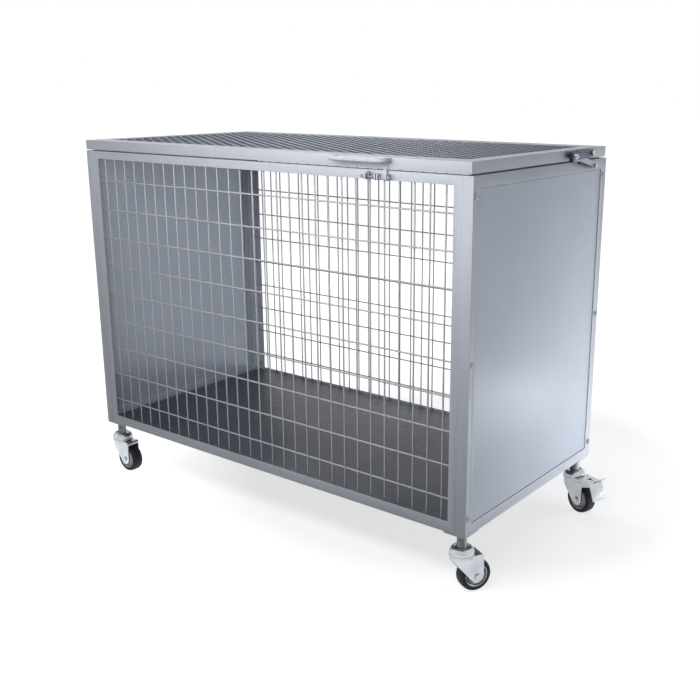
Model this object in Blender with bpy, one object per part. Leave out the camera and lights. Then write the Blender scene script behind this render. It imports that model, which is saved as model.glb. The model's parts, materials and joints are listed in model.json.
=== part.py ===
"""Wheeled storage cage: a bolted steel cage on four castors.

Two welded tube frames with sheet panels make the sides, angle frames with welded wire
mesh make the front and the rear, and a hinged lid of expanded metal closes the top.
Units are metres. +Z is up, +Y is the rear, where the lid hinges.
The origin is on the ground, in the middle of the whole object's footprint.
"""

import math

import bmesh
import bpy
from mathutils import Matrix, Vector

# Fits
GAP = 0.0003
RUNNING_GAP = 0.0003

# Cage body
CAGE_WIDTH = 1.200
CAGE_DEPTH = 0.590
CAGE_HEIGHT = 0.755

# Side frames: square tube with a sheet panel set a little back in it
TUBE = 0.025
TUBE_WALL = 0.0015
PANEL_SHEET = 0.0015
PANEL_RECESS = 0.0015
PANEL_LIP = 0.012

# Front and rear panels: angle frame with welded wire mesh behind its face
ANGLE_SHEET = 0.0025
ANGLE_DEPTH = 0.020
ANGLE_STILE = 0.020
ANGLE_TOP_RAIL = 0.020
ANGLE_BOTTOM_RAIL = 0.0245
WIRE = 0.0038
WIRE_PITCH_ACROSS = 0.0381
WIRE_PITCH_UP = 0.0755
WIRE_TAIL_ACROSS = 0.033
WIRE_TAIL_UP = 0.040

# Floor tray: a sheet with its edges folded down
FLOOR_SHEET = 0.0015
FLOOR_LEVEL = 0.020

# Lid: a shallow folded frame with expanded metal under its flange
LID_GAP = 0.003
LID_HEIGHT = 0.024
LID_SIDE_INSET = 0.003
LID_OVERHANG = 0.002
LID_SHEET = 0.002
LID_SIDE_FLANGE = 0.038
LID_LONG_FLANGE = 0.048
NET_THICKNESS = 0.0025
NET_STRAND = 0.010
NET_PITCH_ACROSS = 0.1524
NET_PITCH_DEEP = 0.090

# Lid hinges
HINGE_SPACING = 0.800
HINGE_LENGTH = 0.075
HINGE_LEAF = 0.002
HINGE_LEAF_HEIGHT = 0.018
HINGE_BARREL_RADIUS = 0.0045
HINGE_PIN_RADIUS = 0.0025
HINGE_KNUCKLE_SHARE = 0.4

# Lid stays: places are measured forward of the hinge axis and up or down from it
STAY_LID_PIN_FORWARD = 0.0938
STAY_LID_PIN_UP = 0.0150
STAY_BODY_PIN_FORWARD = 0.0692
STAY_BODY_PIN_DOWN = 0.0159
STAY_ELBOW_FORWARD = 0.1878
STAY_ELBOW_UP = 0.0115
STAY_PLATE = 0.0025
STAY_LINK_WIDTH = 0.018
STAY_PIN_RADIUS = 0.003
STAY_HEAD_RADIUS = 0.0055
STAY_HEAD_HEIGHT = 0.0035
STAY_SLOT_TRAVEL = 0.0036
STAY_SLOT_PLAY = 0.0018
STAY_FLANGE_HEIGHT = 0.007
STAY_FLANGE_MARGIN = 0.030
STAY_TAB_HEIGHT = 0.024
STAY_TAB_REACH = 0.010
STAY_TAB_AHEAD = 0.016

# Lid handle: a bent round bar
HANDLE_BAR_RADIUS = 0.005
HANDLE_SPAN = 0.142
HANDLE_STANDOFF = 0.025
HANDLE_BEND_RADIUS = 0.012
HANDLE_FROM_RIGHT = 0.269
HANDLE_BELOW_TOP = 0.006

# Slide bolt latch on the front top rail, with its keeper on the lid
LATCH_FROM_RIGHT = 0.239
LATCH_BELOW_TOP = 0.013
LATCH_BASE_LENGTH = 0.028
LATCH_BASE_HEIGHT = 0.013
LATCH_PLATE = 0.002
LATCH_EAR = 0.003
LATCH_BOLT_RADIUS = 0.003
LATCH_BOLT_STANDOFF = 0.0085
LATCH_BOLT_LENGTH = 0.0425
LATCH_BOLT_TAIL = 0.013
LATCH_KNOB_RADIUS = 0.004
LATCH_KNOB_HEIGHT = 0.011
LATCH_KNOB_OFFSET = -0.0065
KEEPER_WIDTH = 0.026
KEEPER_TOP = 0.007
KEEPER_DROP = 0.0175
KEEPER_STRAP = 0.009
KEEPER_RISE = 0.010
KEEPER_AHEAD = 0.0025

# Bolts that join the side frames to the front and rear panels
BOLT_RADIUS = 0.003
BOLT_HEAD_RADIUS = 0.0065
BOLT_HEAD_HEIGHT = 0.004
BOLT_NUT_RADIUS = 0.0048
BOLT_NUT_HEIGHT = 0.004
BOLT_INSET = 0.012
BOLT_END_DISTANCE = 0.040

# Castors
WHEEL_RADIUS = 0.0375
TYRE_WIDTH = 0.030
TYRE_BORE_RADIUS = 0.027
TYRE_SHOULDER = 0.005
HUB_LENGTH = 0.033
HUB_WEB = 0.012
AXLE_RADIUS = 0.004
AXLE_HEAD_RADIUS = 0.0068
AXLE_HEAD_HEIGHT = 0.0045
TYRE_CLEARANCE = 0.004
FORK_PLATE = 0.0025
FORK_CROWN = 0.006
FORK_FOOT_RADIUS = 0.0155
FORK_NOSE = 0.024
FORK_APRON = 0.002
DOME_RADIUS = 0.028
DOME_HEIGHT = 0.0225
TRAIL = 0.030
STEM_RADIUS = 0.006
SOCKET_RADIUS = 0.0115
SOCKET_LENGTH = 0.033
CORNER_PLATE = 0.003
CORNER_PLATE_LENGTH = 0.055
CORNER_PLATE_WELD = 0.0005
CASTOR_INSET_X = 0.0245
CASTOR_INSET_Y = 0.027

# Castor swivel angles in the photographed pose, in degrees from +X
FRONT_RIGHT_SWIVEL = 62.0
FRONT_LEFT_SWIVEL = -1.0
REAR_RIGHT_SWIVEL = -18.5
REAR_LEFT_SWIVEL = 180.0 - REAR_RIGHT_SWIVEL

# Brake pedals on the rear castors
PEDAL_SHEET = 0.002
PEDAL_PIVOT_FROM_STEM = 0.037
PEDAL_PIVOT_ABOVE_WHEEL = 0.006
PEDAL_HEEL = 0.024
PEDAL_CHEEK_DROP = 0.0165
PEDAL_TOP_ABOVE_WHEEL = 0.020
PEDAL_TOP_START = 0.031
PEDAL_KNEE = 0.076
PEDAL_KNEE_DEPTH = 0.008
PEDAL_TREAD_LENGTH = 0.0155
PEDAL_TREAD_DROP = 0.0425
PEDAL_TAB_START = 0.070
PEDAL_TAB_LENGTH = 0.018
PEDAL_TAB_RISE = 0.011
PEDAL_TAB_INNER = 0.004
PEDAL_WINDOW_START = 0.046
PEDAL_WINDOW_LENGTH = 0.019
PEDAL_WINDOW_LOW = 0.003
PEDAL_WINDOW_HIGH = 0.011

# Fineness of round shapes, in sides
WHEEL_SIDES = 24
DOME_SIDES = 16
PIN_SIDES = 10
HOLE_SIDES = 8
BAR_SIDES = 8
BEND_STEPS = 4

# Levels and places that follow from the sizes above
FORK_TOP = 2 * WHEEL_RADIUS + TYRE_CLEARANCE
DOME_BASE = FORK_TOP + FORK_CROWN
DOME_TOP = DOME_BASE + DOME_HEIGHT
BASE_Z = DOME_TOP + SOCKET_LENGTH + CORNER_PLATE
TOP_Z = BASE_Z + CAGE_HEIGHT
LID_BOTTOM = TOP_Z + LID_GAP
LID_TOP = LID_BOTTOM + LID_HEIGHT
HALF_WIDTH = CAGE_WIDTH / 2
HALF_DEPTH = CAGE_DEPTH / 2
LID_FRONT = -HALF_DEPTH - LID_OVERHANG
HANDLE_CENTRE_X = HALF_WIDTH - HANDLE_FROM_RIGHT
LATCH_CENTRE_X = HALF_WIDTH - LATCH_FROM_RIGHT
HINGE_Y = HALF_DEPTH + GAP + HINGE_BARREL_RADIUS
HINGE_Z = TOP_Z + LID_GAP / 2
HANDLE_FRONT = LID_FRONT - GAP - HANDLE_STANDOFF - HANDLE_BAR_RADIUS

# The cage is moved along Y so that the whole object is centred on the origin
CAGE_Y = -(HANDLE_FRONT + HINGE_Y + HINGE_BARREL_RADIUS) / 2

# Colour, roughness and metallic value of each finish
FINISHES = {
    "frame_paint": ((0.43, 0.45, 0.49, 1.0), 0.38, 0.55),
    "panel_paint": ((0.46, 0.48, 0.53, 1.0), 0.36, 0.55),
    "mesh_paint": ((0.36, 0.37, 0.41, 1.0), 0.42, 0.50),
    "floor_paint": ((0.09, 0.10, 0.13, 1.0), 0.50, 0.30),
    "zinc_plate": ((0.68, 0.70, 0.72, 1.0), 0.28, 0.95),
    "dark_plate": ((0.11, 0.13, 0.17, 1.0), 0.35, 0.85),
    "hub_metal": ((0.62, 0.63, 0.65, 1.0), 0.32, 0.85),
    "tyre_rubber": ((0.02, 0.02, 0.024, 1.0), 0.70, 0.0),
}


def clear_scene():
    for item in list(bpy.data.objects):
        bpy.data.objects.remove(item, do_unlink=True)


def finish_material(name, finish):
    colour, roughness, metallic = FINISHES[finish]
    material = bpy.data.materials.new(name)
    material.use_nodes = True
    shader = material.node_tree.nodes["Principled BSDF"]
    shader.inputs["Base Color"].default_value = colour
    shader.inputs["Roughness"].default_value = roughness
    shader.inputs["Metallic"].default_value = metallic
    material.diffuse_color = colour
    return material


def add_empty(name, location, turn=0.0, parent=None):
    empty = bpy.data.objects.new(name, None)
    bpy.context.scene.collection.objects.link(empty)
    empty.location = location
    empty.rotation_euler = (0.0, 0.0, turn)
    empty.parent = parent
    return empty


def add_object(name, shape, finish, parent=None, origin=(0.0, 0.0, 0.0)):
    """Make a named object of a bmesh, with its origin at a point of its parent's frame."""
    bmesh.ops.recalc_face_normals(shape, faces=shape.faces)
    bmesh.ops.translate(shape, verts=shape.verts, vec=-Vector(origin))
    mesh = bpy.data.meshes.new(name)
    shape.to_mesh(mesh)
    shape.free()
    mesh.shade_smooth()
    mesh.set_sharp_from_angle(angle=math.radians(35))
    item = bpy.data.objects.new(name, mesh)
    bpy.context.scene.collection.objects.link(item)
    item.data.materials.append(finish_material(name, finish))
    item.location = origin
    item.parent = parent
    return item


def combine(shape, other, operation):
    """Join or cut two solids with an exact Boolean and return the result as a bmesh."""
    solids = []
    for label, source in (("solid", shape), ("tool", other)):
        bmesh.ops.recalc_face_normals(source, faces=source.faces)
        mesh = bpy.data.meshes.new(label)
        source.to_mesh(mesh)
        source.free()
        item = bpy.data.objects.new(label, mesh)
        bpy.context.scene.collection.objects.link(item)
        solids.append(item)
    solid, tool = solids
    boolean = solid.modifiers.new("combine", "BOOLEAN")
    boolean.operation = operation
    boolean.object = tool
    boolean.solver = "EXACT"
    evaluated = solid.evaluated_get(bpy.context.evaluated_depsgraph_get())
    result = bmesh.new()
    result.from_mesh(evaluated.to_mesh())
    evaluated.to_mesh_clear()
    bmesh.ops.dissolve_degenerate(result, dist=1e-6, edges=result.edges)
    for item in solids:
        bpy.data.objects.remove(item, do_unlink=True)
    return result


def join(*shapes):
    result = shapes[0]
    for other in shapes[1:]:
        result = combine(result, other, "UNION")
    return result


def cut(shape, *tools):
    for tool in tools:
        shape = combine(shape, tool, "DIFFERENCE")
    return shape


def merge(*shapes):
    """Put solids that don't touch into one bmesh, for use as one cutting tool."""
    result = bmesh.new()
    for shape in shapes:
        mesh = bpy.data.meshes.new("part")
        shape.to_mesh(mesh)
        shape.free()
        result.from_mesh(mesh)
        bpy.data.meshes.remove(mesh)
    return result


def box(low, high):
    shape = bmesh.new()
    bmesh.ops.create_cube(shape, size=1.0)
    size = [b - a for a, b in zip(low, high)]
    middle = [(a + b) / 2 for a, b in zip(low, high)]
    bmesh.ops.scale(shape, vec=size, verts=shape.verts)
    bmesh.ops.translate(shape, vec=middle, verts=shape.verts)
    return shape


def prism(outline, axis, low, high):
    """Extrude a closed outline along an axis; the outline is in the two other axes, in order."""
    shape = bmesh.new()
    others = [i for i in range(3) if i != axis]

    def point(pair, along):
        position = [0.0, 0.0, 0.0]
        position[others[0]], position[others[1]] = pair
        position[axis] = along
        return position

    lower = [shape.verts.new(point(pair, low)) for pair in outline]
    upper = [shape.verts.new(point(pair, high)) for pair in outline]
    shape.faces.new(lower)
    shape.faces.new(upper)
    for i in range(len(outline)):
        j = (i + 1) % len(outline)
        shape.faces.new((lower[i], lower[j], upper[j], upper[i]))
    return shape


def turned(profile, axis, centre, sides):
    """Turn a profile of (radius, height) pairs about an axis; a radius of 0 closes to a point."""
    shape = bmesh.new()
    others = [(axis + 1) % 3, (axis + 2) % 3]
    rings = []
    for radius, height in profile:
        count = sides if radius > 0 else 1
        ring = []
        for step in range(count):
            angle = 2 * math.pi * step / sides
            position = list(centre)
            position[others[0]] += radius * math.cos(angle)
            position[others[1]] += radius * math.sin(angle)
            position[axis] += height
            ring.append(shape.verts.new(position))
        rings.append(ring)
    closed = profile[0][0] > 0
    pairs = list(zip(rings, rings[1:])) + ([(rings[-1], rings[0])] if closed else [])
    for first, second in pairs:
        for i in range(sides):
            j = (i + 1) % sides
            corners = [first[i % len(first)], first[j % len(first)]]
            corners += [second[j % len(second)], second[i % len(second)]]
            corners = list(dict.fromkeys(corners))
            if len(corners) > 2:
                shape.faces.new(corners)
    return shape


def rod(radius, axis, centre, low, high, sides):
    profile = [(0.0, low), (radius, low), (radius, high), (0.0, high)]
    return turned(profile, axis, centre, sides)


def framed(section, rectangle, place):
    """Carry a section round a rectangle.

    Each section point is (insets, level): insets holds the distance in from the left,
    right, bottom and top edge, and place turns (across, up, level) into a position.
    """
    left, right, bottom, top = rectangle
    shape = bmesh.new()
    loops = []
    for (from_left, from_right, from_bottom, from_top), level in section:
        corners = (
            (left + from_left, bottom + from_bottom),
            (right - from_right, bottom + from_bottom),
            (right - from_right, top - from_top),
            (left + from_left, top - from_top),
        )
        loops.append([shape.verts.new(place(u, v, level)) for u, v in corners])
    for first, second in zip(loops, loops[1:] + loops[:1]):
        for i in range(4):
            j = (i + 1) % 4
            shape.faces.new((first[i], first[j], second[j], second[i]))
    return shape


def even(inset):
    return (inset, inset, inset, inset)


def on_side(side):
    return lambda across, up, level: (side * level, across, up)


def on_end(end):
    return lambda across, up, level: (across, end * level, up)


def flat(across, up, level):
    return (across, up, level)


def capsule(start, finish, radius, steps=6):
    """Outline of a strip with round ends, in the plane of its two given points."""
    direction = math.atan2(finish[1] - start[1], finish[0] - start[0])
    outline = []
    for centre, base in ((finish, direction - math.pi / 2), (start, direction + math.pi / 2)):
        for step in range(steps + 1):
            angle = base + math.pi * step / steps
            across, up = radius * math.cos(angle), radius * math.sin(angle)
            outline.append((centre[0] + across, centre[1] + up))
    return outline


def corner_bolt_heights():
    return {
        "bottom": BASE_Z + BOLT_END_DISTANCE,
        "middle": BASE_Z + CAGE_HEIGHT / 2,
        "top": TOP_Z - BOLT_END_DISTANCE,
    }


def corner_bolt_holes(side, end):
    """Cylinders through one corner's side tube and panel frame, one for each bolt."""
    y = CAGE_Y + end * (HALF_DEPTH - BOLT_INSET)
    inner = HALF_WIDTH - TUBE - 2 * ANGLE_SHEET
    outer = HALF_WIDTH + TUBE_WALL
    low, high = sorted((side * inner, side * outer))
    return [
        rod(BOLT_RADIUS + GAP, 0, (0.0, y, z), low, high, HOLE_SIDES)
        for z in corner_bolt_heights().values()
    ]


def socket_centre(side, end):
    return side * (HALF_WIDTH - CASTOR_INSET_X), CAGE_Y + end * (HALF_DEPTH - CASTOR_INSET_Y)


# Side frame: welded square tube, with a castor plate and socket under each corner
def side_frame(side, label):
    place = on_side(side)
    rectangle = (CAGE_Y - HALF_DEPTH, CAGE_Y + HALF_DEPTH, BASE_Z, TOP_Z)
    inner = HALF_WIDTH - TUBE
    wall = TUBE_WALL
    solid = framed(
        [(even(0.0), inner), (even(0.0), HALF_WIDTH), (even(TUBE), HALF_WIDTH), (even(TUBE), inner)],
        rectangle, place,
    )
    hollow = framed(
        [
            (even(wall), inner + wall),
            (even(wall), HALF_WIDTH - wall),
            (even(TUBE - wall), HALF_WIDTH - wall),
            (even(TUBE - wall), inner + wall),
        ],
        rectangle, place,
    )
    holes = merge(*corner_bolt_holes(side, -1), *corner_bolt_holes(side, 1))
    frame = cut(solid, hollow, holes)
    plate_bottom = BASE_Z - CORNER_PLATE
    for end in (-1, 1):
        x, y = socket_centre(side, end)
        outer_x = side * (HALF_WIDTH - CORNER_PLATE_WELD)
        outer_y = CAGE_Y + end * (HALF_DEPTH - CORNER_PLATE_WELD)
        inner_x = outer_x - side * CORNER_PLATE_LENGTH
        inner_y = outer_y - end * CORNER_PLATE_LENGTH
        plate = box(
            (min(outer_x, inner_x), min(outer_y, inner_y), plate_bottom),
            (max(outer_x, inner_x), max(outer_y, inner_y), BASE_Z + CORNER_PLATE_WELD),
        )
        weld = plate_bottom + CORNER_PLATE_WELD
        socket = rod(SOCKET_RADIUS, 2, (x, y, 0.0), DOME_TOP + GAP, weld, DOME_SIDES)
        bore_top = BASE_Z - CORNER_PLATE / 3
        bore = rod(STEM_RADIUS + RUNNING_GAP, 2, (x, y, 0.0), DOME_TOP - GAP, bore_top, DOME_SIDES)
        frame = cut(join(frame, plate, socket), bore)
    return add_object("side_frame_" + label, frame, "frame_paint")


# Side panel: a shallow tray of sheet, its face a little behind the tube's face
def side_panel(side, label):
    margin = TUBE + GAP
    rectangle = (
        CAGE_Y - HALF_DEPTH + margin,
        CAGE_Y + HALF_DEPTH - margin,
        BASE_Z + margin,
        TOP_Z - margin,
    )
    place = on_side(side)
    face = HALF_WIDTH - PANEL_RECESS
    left, right, bottom, top = rectangle
    shape = bmesh.new()
    loops = []
    for inset, level in (
        (0.0, face),
        (0.0, face - PANEL_LIP),
        (PANEL_SHEET, face - PANEL_LIP),
        (PANEL_SHEET, face - PANEL_SHEET),
    ):
        corners = (
            (left + inset, bottom + inset),
            (right - inset, bottom + inset),
            (right - inset, top - inset),
            (left + inset, top - inset),
        )
        loops.append([shape.verts.new(place(u, v, level)) for u, v in corners])
    for first, second in zip(loops, loops[1:]):
        for i in range(4):
            j = (i + 1) % 4
            shape.faces.new((first[i], first[j], second[j], second[i]))
    shape.faces.new(loops[0])
    shape.faces.new(loops[-1])
    return add_object("side_panel_" + label, shape, "panel_paint")


def panel_half_width():
    return HALF_WIDTH - TUBE - GAP


# Front or rear panel frame: steel angle, drilled for the corner bolts
def mesh_panel_frame(end, label):
    half = panel_half_width()
    bottom = BASE_Z + CORNER_PLATE_WELD + GAP
    rectangle = (-half, half, bottom, TOP_Z)
    face = HALF_DEPTH
    sheet = ANGLE_SHEET
    flange = (ANGLE_STILE, ANGLE_STILE, ANGLE_BOTTOM_RAIL, ANGLE_TOP_RAIL)

    def place(across, up, level):
        return (across, CAGE_Y + end * level, up)

    frame = framed(
        [
            (even(0.0), face),
            (even(0.0), face - ANGLE_DEPTH),
            (even(sheet), face - ANGLE_DEPTH),
            (even(sheet), face - sheet),
            (flange, face - sheet),
            (flange, face),
        ],
        rectangle, place,
    )
    holes = merge(*corner_bolt_holes(-1, end), *corner_bolt_holes(1, end))
    return add_object(label + "_panel_frame", cut(frame, holes), "frame_paint")


def wire_places(low, high, pitch, tail):
    """Centres of the wires that fit between two edges, centred, with a tail past the last."""
    span = high - low - 2 * tail
    count = int(span / pitch) + 1
    first = (low + high) / 2 - pitch * (count - 1) / 2
    return [first + pitch * step for step in range(count)]


# Welded wire mesh: a flat grid of square bars, closed all round
def wire_mesh(end, label):
    clear = ANGLE_SHEET + GAP
    left = -panel_half_width() + clear
    right = panel_half_width() - clear
    bottom = BASE_Z + CORNER_PLATE_WELD + GAP + clear
    top = TOP_Z - clear
    across = [left, right]
    up = [bottom, top]
    for centre in wire_places(left, right, WIRE_PITCH_ACROSS, WIRE_TAIL_ACROSS):
        across += [centre - WIRE / 2, centre + WIRE / 2]
    for centre in wire_places(bottom, top, WIRE_PITCH_UP, WIRE_TAIL_UP):
        up += [centre - WIRE / 2, centre + WIRE / 2]
    across.sort()
    up.sort()
    near = CAGE_Y + end * (HALF_DEPTH - ANGLE_SHEET - GAP)
    far = near - end * WIRE

    def solid(i, j):
        inside = 0 <= i < len(across) - 1 and 0 <= j < len(up) - 1
        return inside and (i % 2 == 1 or j % 2 == 1)

    shape = bmesh.new()
    corners = {}

    def corner(i, j, y):
        if (i, j, y) not in corners:
            corners[i, j, y] = shape.verts.new((across[i], y, up[j]))
        return corners[i, j, y]

    for i in range(len(across) - 1):
        for j in range(len(up) - 1):
            if not solid(i, j):
                continue
            ring = ((i, j), (i + 1, j), (i + 1, j + 1), (i, j + 1))
            for y in (near, far):
                shape.faces.new([corner(a, b, y) for a, b in ring])
            beyond = ((i, j - 1), (i + 1, j), (i, j + 1), (i - 1, j))
            for k in range(4):
                if not solid(*beyond[k]):
                    a, b = ring[k], ring[(k + 1) % 4]
                    shape.faces.new((corner(*a, near), corner(*b, near), corner(*b, far), corner(*a, far)))
    return add_object(label + "_wire_mesh", shape, "mesh_paint")


# Floor tray: rests on the panel frames' bottom angles
def floor_tray():
    half_x = panel_half_width() - ANGLE_SHEET - GAP
    half_y = HALF_DEPTH - ANGLE_SHEET - WIRE - 2 * GAP
    top = BASE_Z + FLOOR_LEVEL
    foot = BASE_Z + CORNER_PLATE_WELD + ANGLE_SHEET + 2 * GAP
    outer = box((-half_x, CAGE_Y - half_y, foot), (half_x, CAGE_Y + half_y, top))
    sheet = FLOOR_SHEET
    inner = box(
        (-half_x + sheet, CAGE_Y - half_y + sheet, foot - sheet),
        (half_x - sheet, CAGE_Y + half_y - sheet, top - sheet),
    )
    return add_object("floor_tray", cut(outer, inner), "floor_paint")


def corner_bolt(side, end, z, name):
    """A round-headed bolt with its nut, along X through one corner."""
    y = CAGE_Y + end * (HALF_DEPTH - BOLT_INSET)
    head = HALF_WIDTH + GAP
    nut = panel_half_width() - ANGLE_SHEET - GAP
    profile = [
        (0.0, head + BOLT_HEAD_HEIGHT),
        (BOLT_HEAD_RADIUS * 0.65, head + BOLT_HEAD_HEIGHT * 0.85),
        (BOLT_HEAD_RADIUS, head + BOLT_HEAD_HEIGHT * 0.3),
        (BOLT_HEAD_RADIUS, head),
        (BOLT_RADIUS, head),
        (BOLT_RADIUS, nut),
        (BOLT_NUT_RADIUS, nut),
        (BOLT_NUT_RADIUS, nut - BOLT_NUT_HEIGHT),
        (0.0, nut - BOLT_NUT_HEIGHT),
    ]
    profile = [(radius, side * height) for radius, height in profile]
    return add_object(name, turned(profile, 0, (0.0, y, z), HOLE_SIDES), "zinc_plate")


# Lid frame: folded sheet with a wide top flange
def lid_frame(pivot):
    rectangle = (
        -HALF_WIDTH + LID_SIDE_INSET,
        HALF_WIDTH - LID_SIDE_INSET,
        CAGE_Y + LID_FRONT,
        CAGE_Y + HALF_DEPTH,
    )
    flange = (LID_SIDE_FLANGE, LID_SIDE_FLANGE, LID_LONG_FLANGE, LID_LONG_FLANGE)
    shape = framed(
        [
            (even(0.0), LID_BOTTOM),
            (even(0.0), LID_TOP),
            (flange, LID_TOP),
            (flange, LID_TOP - LID_SHEET),
            (even(LID_SHEET), LID_TOP - LID_SHEET),
            (even(LID_SHEET), LID_BOTTOM),
        ],
        rectangle, flat,
    )
    return add_moving("lid_frame", shape, "frame_paint", pivot)


def add_moving(name, shape, finish, pivot):
    """Add a piece drawn in the cage's frame to an unturned pivot, with its origin on it."""
    bmesh.ops.translate(shape, verts=shape.verts, vec=-pivot.matrix_world.translation)
    return add_object(name, shape, finish, parent=pivot)


# Lid net: expanded metal, drawn as a coarse diamond grid in a plain border
def lid_net(pivot):
    clear = LID_SHEET + GAP
    left = -HALF_WIDTH + LID_SIDE_INSET + clear
    right = -left
    front = CAGE_Y + LID_FRONT + clear
    rear = CAGE_Y + HALF_DEPTH - clear
    top = LID_TOP - LID_SHEET - GAP
    bottom = top - NET_THICKNESS
    border_x = LID_SIDE_FLANGE - clear
    border_y = LID_LONG_FLANGE - clear
    columns = max(2, round((right - left - 2 * border_x) / NET_PITCH_ACROSS))
    rows = max(2, round((rear - front - 2 * border_y) / NET_PITCH_DEEP))
    half_a = (right - left - 2 * border_x) / columns / 2
    half_b = (rear - front - 2 * border_y) / rows / 2
    shrink = 1 - NET_STRAND / (2 * half_a * half_b / math.hypot(half_a, half_b))
    shape = bmesh.new()
    points = {}

    def point(i, j, z, about=None):
        """Point i half columns and j half rows into the net; about shrinks it towards a cell."""
        x = left + border_x + half_a * i
        y = front + border_y + half_b * j
        if about:
            middle_x = left + border_x + half_a * about[0]
            middle_y = front + border_y + half_b * about[1]
            x = middle_x + (x - middle_x) * shrink
            y = middle_y + (y - middle_y) * shrink
        key = (i, j, z, about)
        if key not in points:
            points[key] = shape.verts.new((x, y, z))
        return points[key]

    last_i, last_j = 2 * columns, 2 * rows
    for i in range(last_i + 1):
        for j in range(last_j + 1):
            if (i + j) % 2 or i % 2 != j % 2:
                continue
            around = [(i - 1, j), (i, j - 1), (i + 1, j), (i, j + 1)]
            inside = [p for p in around if 0 <= p[0] <= last_i and 0 <= p[1] <= last_j]
            if len(inside) < 4:
                if len(inside) == 2:
                    inside = [inside[0], (i, j), inside[1]]
                for z in (top, bottom):
                    shape.faces.new([point(*p, z) for p in inside])
                continue
            for k in range(4):
                a, b = around[k], around[(k + 1) % 4]
                for z in (top, bottom):
                    outer = (point(*a, z), point(*b, z))
                    shape.faces.new(outer + (point(*b, z, (i, j)), point(*a, z, (i, j))))
                inner = (point(*a, top, (i, j)), point(*b, top, (i, j)))
                outer = (point(*b, bottom, (i, j)), point(*a, bottom, (i, j)))
                shape.faces.new(inner + outer)
    edge = [(0, 0)] + [(i, 0) for i in range(1, last_i, 2)] + [(last_i, 0)]
    edge += [(last_i, j) for j in range(1, last_j, 2)] + [(last_i, last_j)]
    edge += [(i, last_j) for i in range(last_i - 1, 0, -2)] + [(0, last_j)]
    edge += [(0, j) for j in range(last_j - 1, 0, -2)]
    rims = {}
    for z in (top, bottom):
        rims[z] = []
        for i, j in edge:
            x = left if i == 0 else right if i == last_i else left + border_x + half_a * i
            y = front if j == 0 else rear if j == last_j else front + border_y + half_b * j
            rims[z].append(shape.verts.new((x, y, z)))
    for k in range(len(edge)):
        n = (k + 1) % len(edge)
        for z in (top, bottom):
            shape.faces.new((rims[z][k], rims[z][n], point(*edge[n], z), point(*edge[k], z)))
        shape.faces.new((rims[top][k], rims[top][n], rims[bottom][n], rims[bottom][k]))
    return add_moving("lid_net", shape, "mesh_paint", pivot)


# Hinges: body leaf with the outer knuckles, lid leaf with the middle one, and a pin
def hinge(side, label, pivot):
    centre_x = side * HINGE_SPACING / 2
    half = HINGE_LENGTH / 2
    knuckle = half * HINGE_KNUCKLE_SHARE
    near = CAGE_Y + HALF_DEPTH + GAP
    axis = (centre_x, CAGE_Y + HINGE_Y, HINGE_Z)

    def barrel(low, high):
        return rod(HINGE_BARREL_RADIUS, 0, axis, low, high, 12)

    bore = HINGE_PIN_RADIUS + RUNNING_GAP
    leaf_foot = TOP_Z - HINGE_LEAF_HEIGHT
    body_leaf = box(
        (centre_x - half, near, leaf_foot),
        (centre_x + half, near + HINGE_LEAF, HINGE_Z - HINGE_PIN_RADIUS - 2 * RUNNING_GAP),
    )
    middle = box(
        (centre_x - knuckle - GAP, near - GAP, TOP_Z - HINGE_BARREL_RADIUS),
        (centre_x + knuckle + GAP, near + 2 * HINGE_BARREL_RADIUS, LID_TOP),
    )
    body_leaf = join(
        cut(body_leaf, middle),
        barrel(-half, -knuckle - GAP),
        barrel(knuckle + GAP, half),
    )
    body_leaf = cut(body_leaf, rod(bore, 0, axis, -half - GAP, half + GAP, PIN_SIDES))
    add_object("hinge_%s_body_leaf" % label, body_leaf, "frame_paint")
    lid_leaf = box(
        (centre_x - knuckle, near, HINGE_Z + HINGE_PIN_RADIUS + 2 * RUNNING_GAP),
        (centre_x + knuckle, near + HINGE_LEAF, LID_BOTTOM + HINGE_LEAF_HEIGHT),
    )
    wide = box(
        (centre_x - half, near, HINGE_Z + HINGE_BARREL_RADIUS + GAP),
        (centre_x + half, near + HINGE_LEAF, LID_BOTTOM + HINGE_LEAF_HEIGHT),
    )
    lid_leaf = join(lid_leaf, wide, barrel(-knuckle, knuckle))
    lid_leaf = cut(lid_leaf, rod(bore, 0, axis, -half, half, PIN_SIDES))
    add_moving("hinge_%s_lid_leaf" % label, lid_leaf, "frame_paint", pivot)
    pin = rod(HINGE_PIN_RADIUS, 0, axis, -half - HINGE_LEAF, half + HINGE_LEAF, PIN_SIDES)
    add_object("hinge_%s_pin" % label, pin, "zinc_plate")


def stay_points():
    """Places of the body pin, lid pin and elbow of a stay, as (y, z)."""
    y, z = CAGE_Y + HINGE_Y, HINGE_Z
    body = (y - STAY_BODY_PIN_FORWARD, z - STAY_BODY_PIN_DOWN)
    lid = (y - STAY_LID_PIN_FORWARD, z + STAY_LID_PIN_UP)
    elbow = (y - STAY_ELBOW_FORWARD, z + STAY_ELBOW_UP)
    return body, lid, elbow


def side_rod(side, radius, place, low, high, sides=PIN_SIDES):
    low, high = sorted((side * low, side * high))
    return rod(radius, 0, (0.0, place[0], place[1]), low, high, sides)


def side_prism(side, outline, low, high):
    low, high = sorted((side * low, side * high))
    return prism(outline, 0, low, high)


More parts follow.
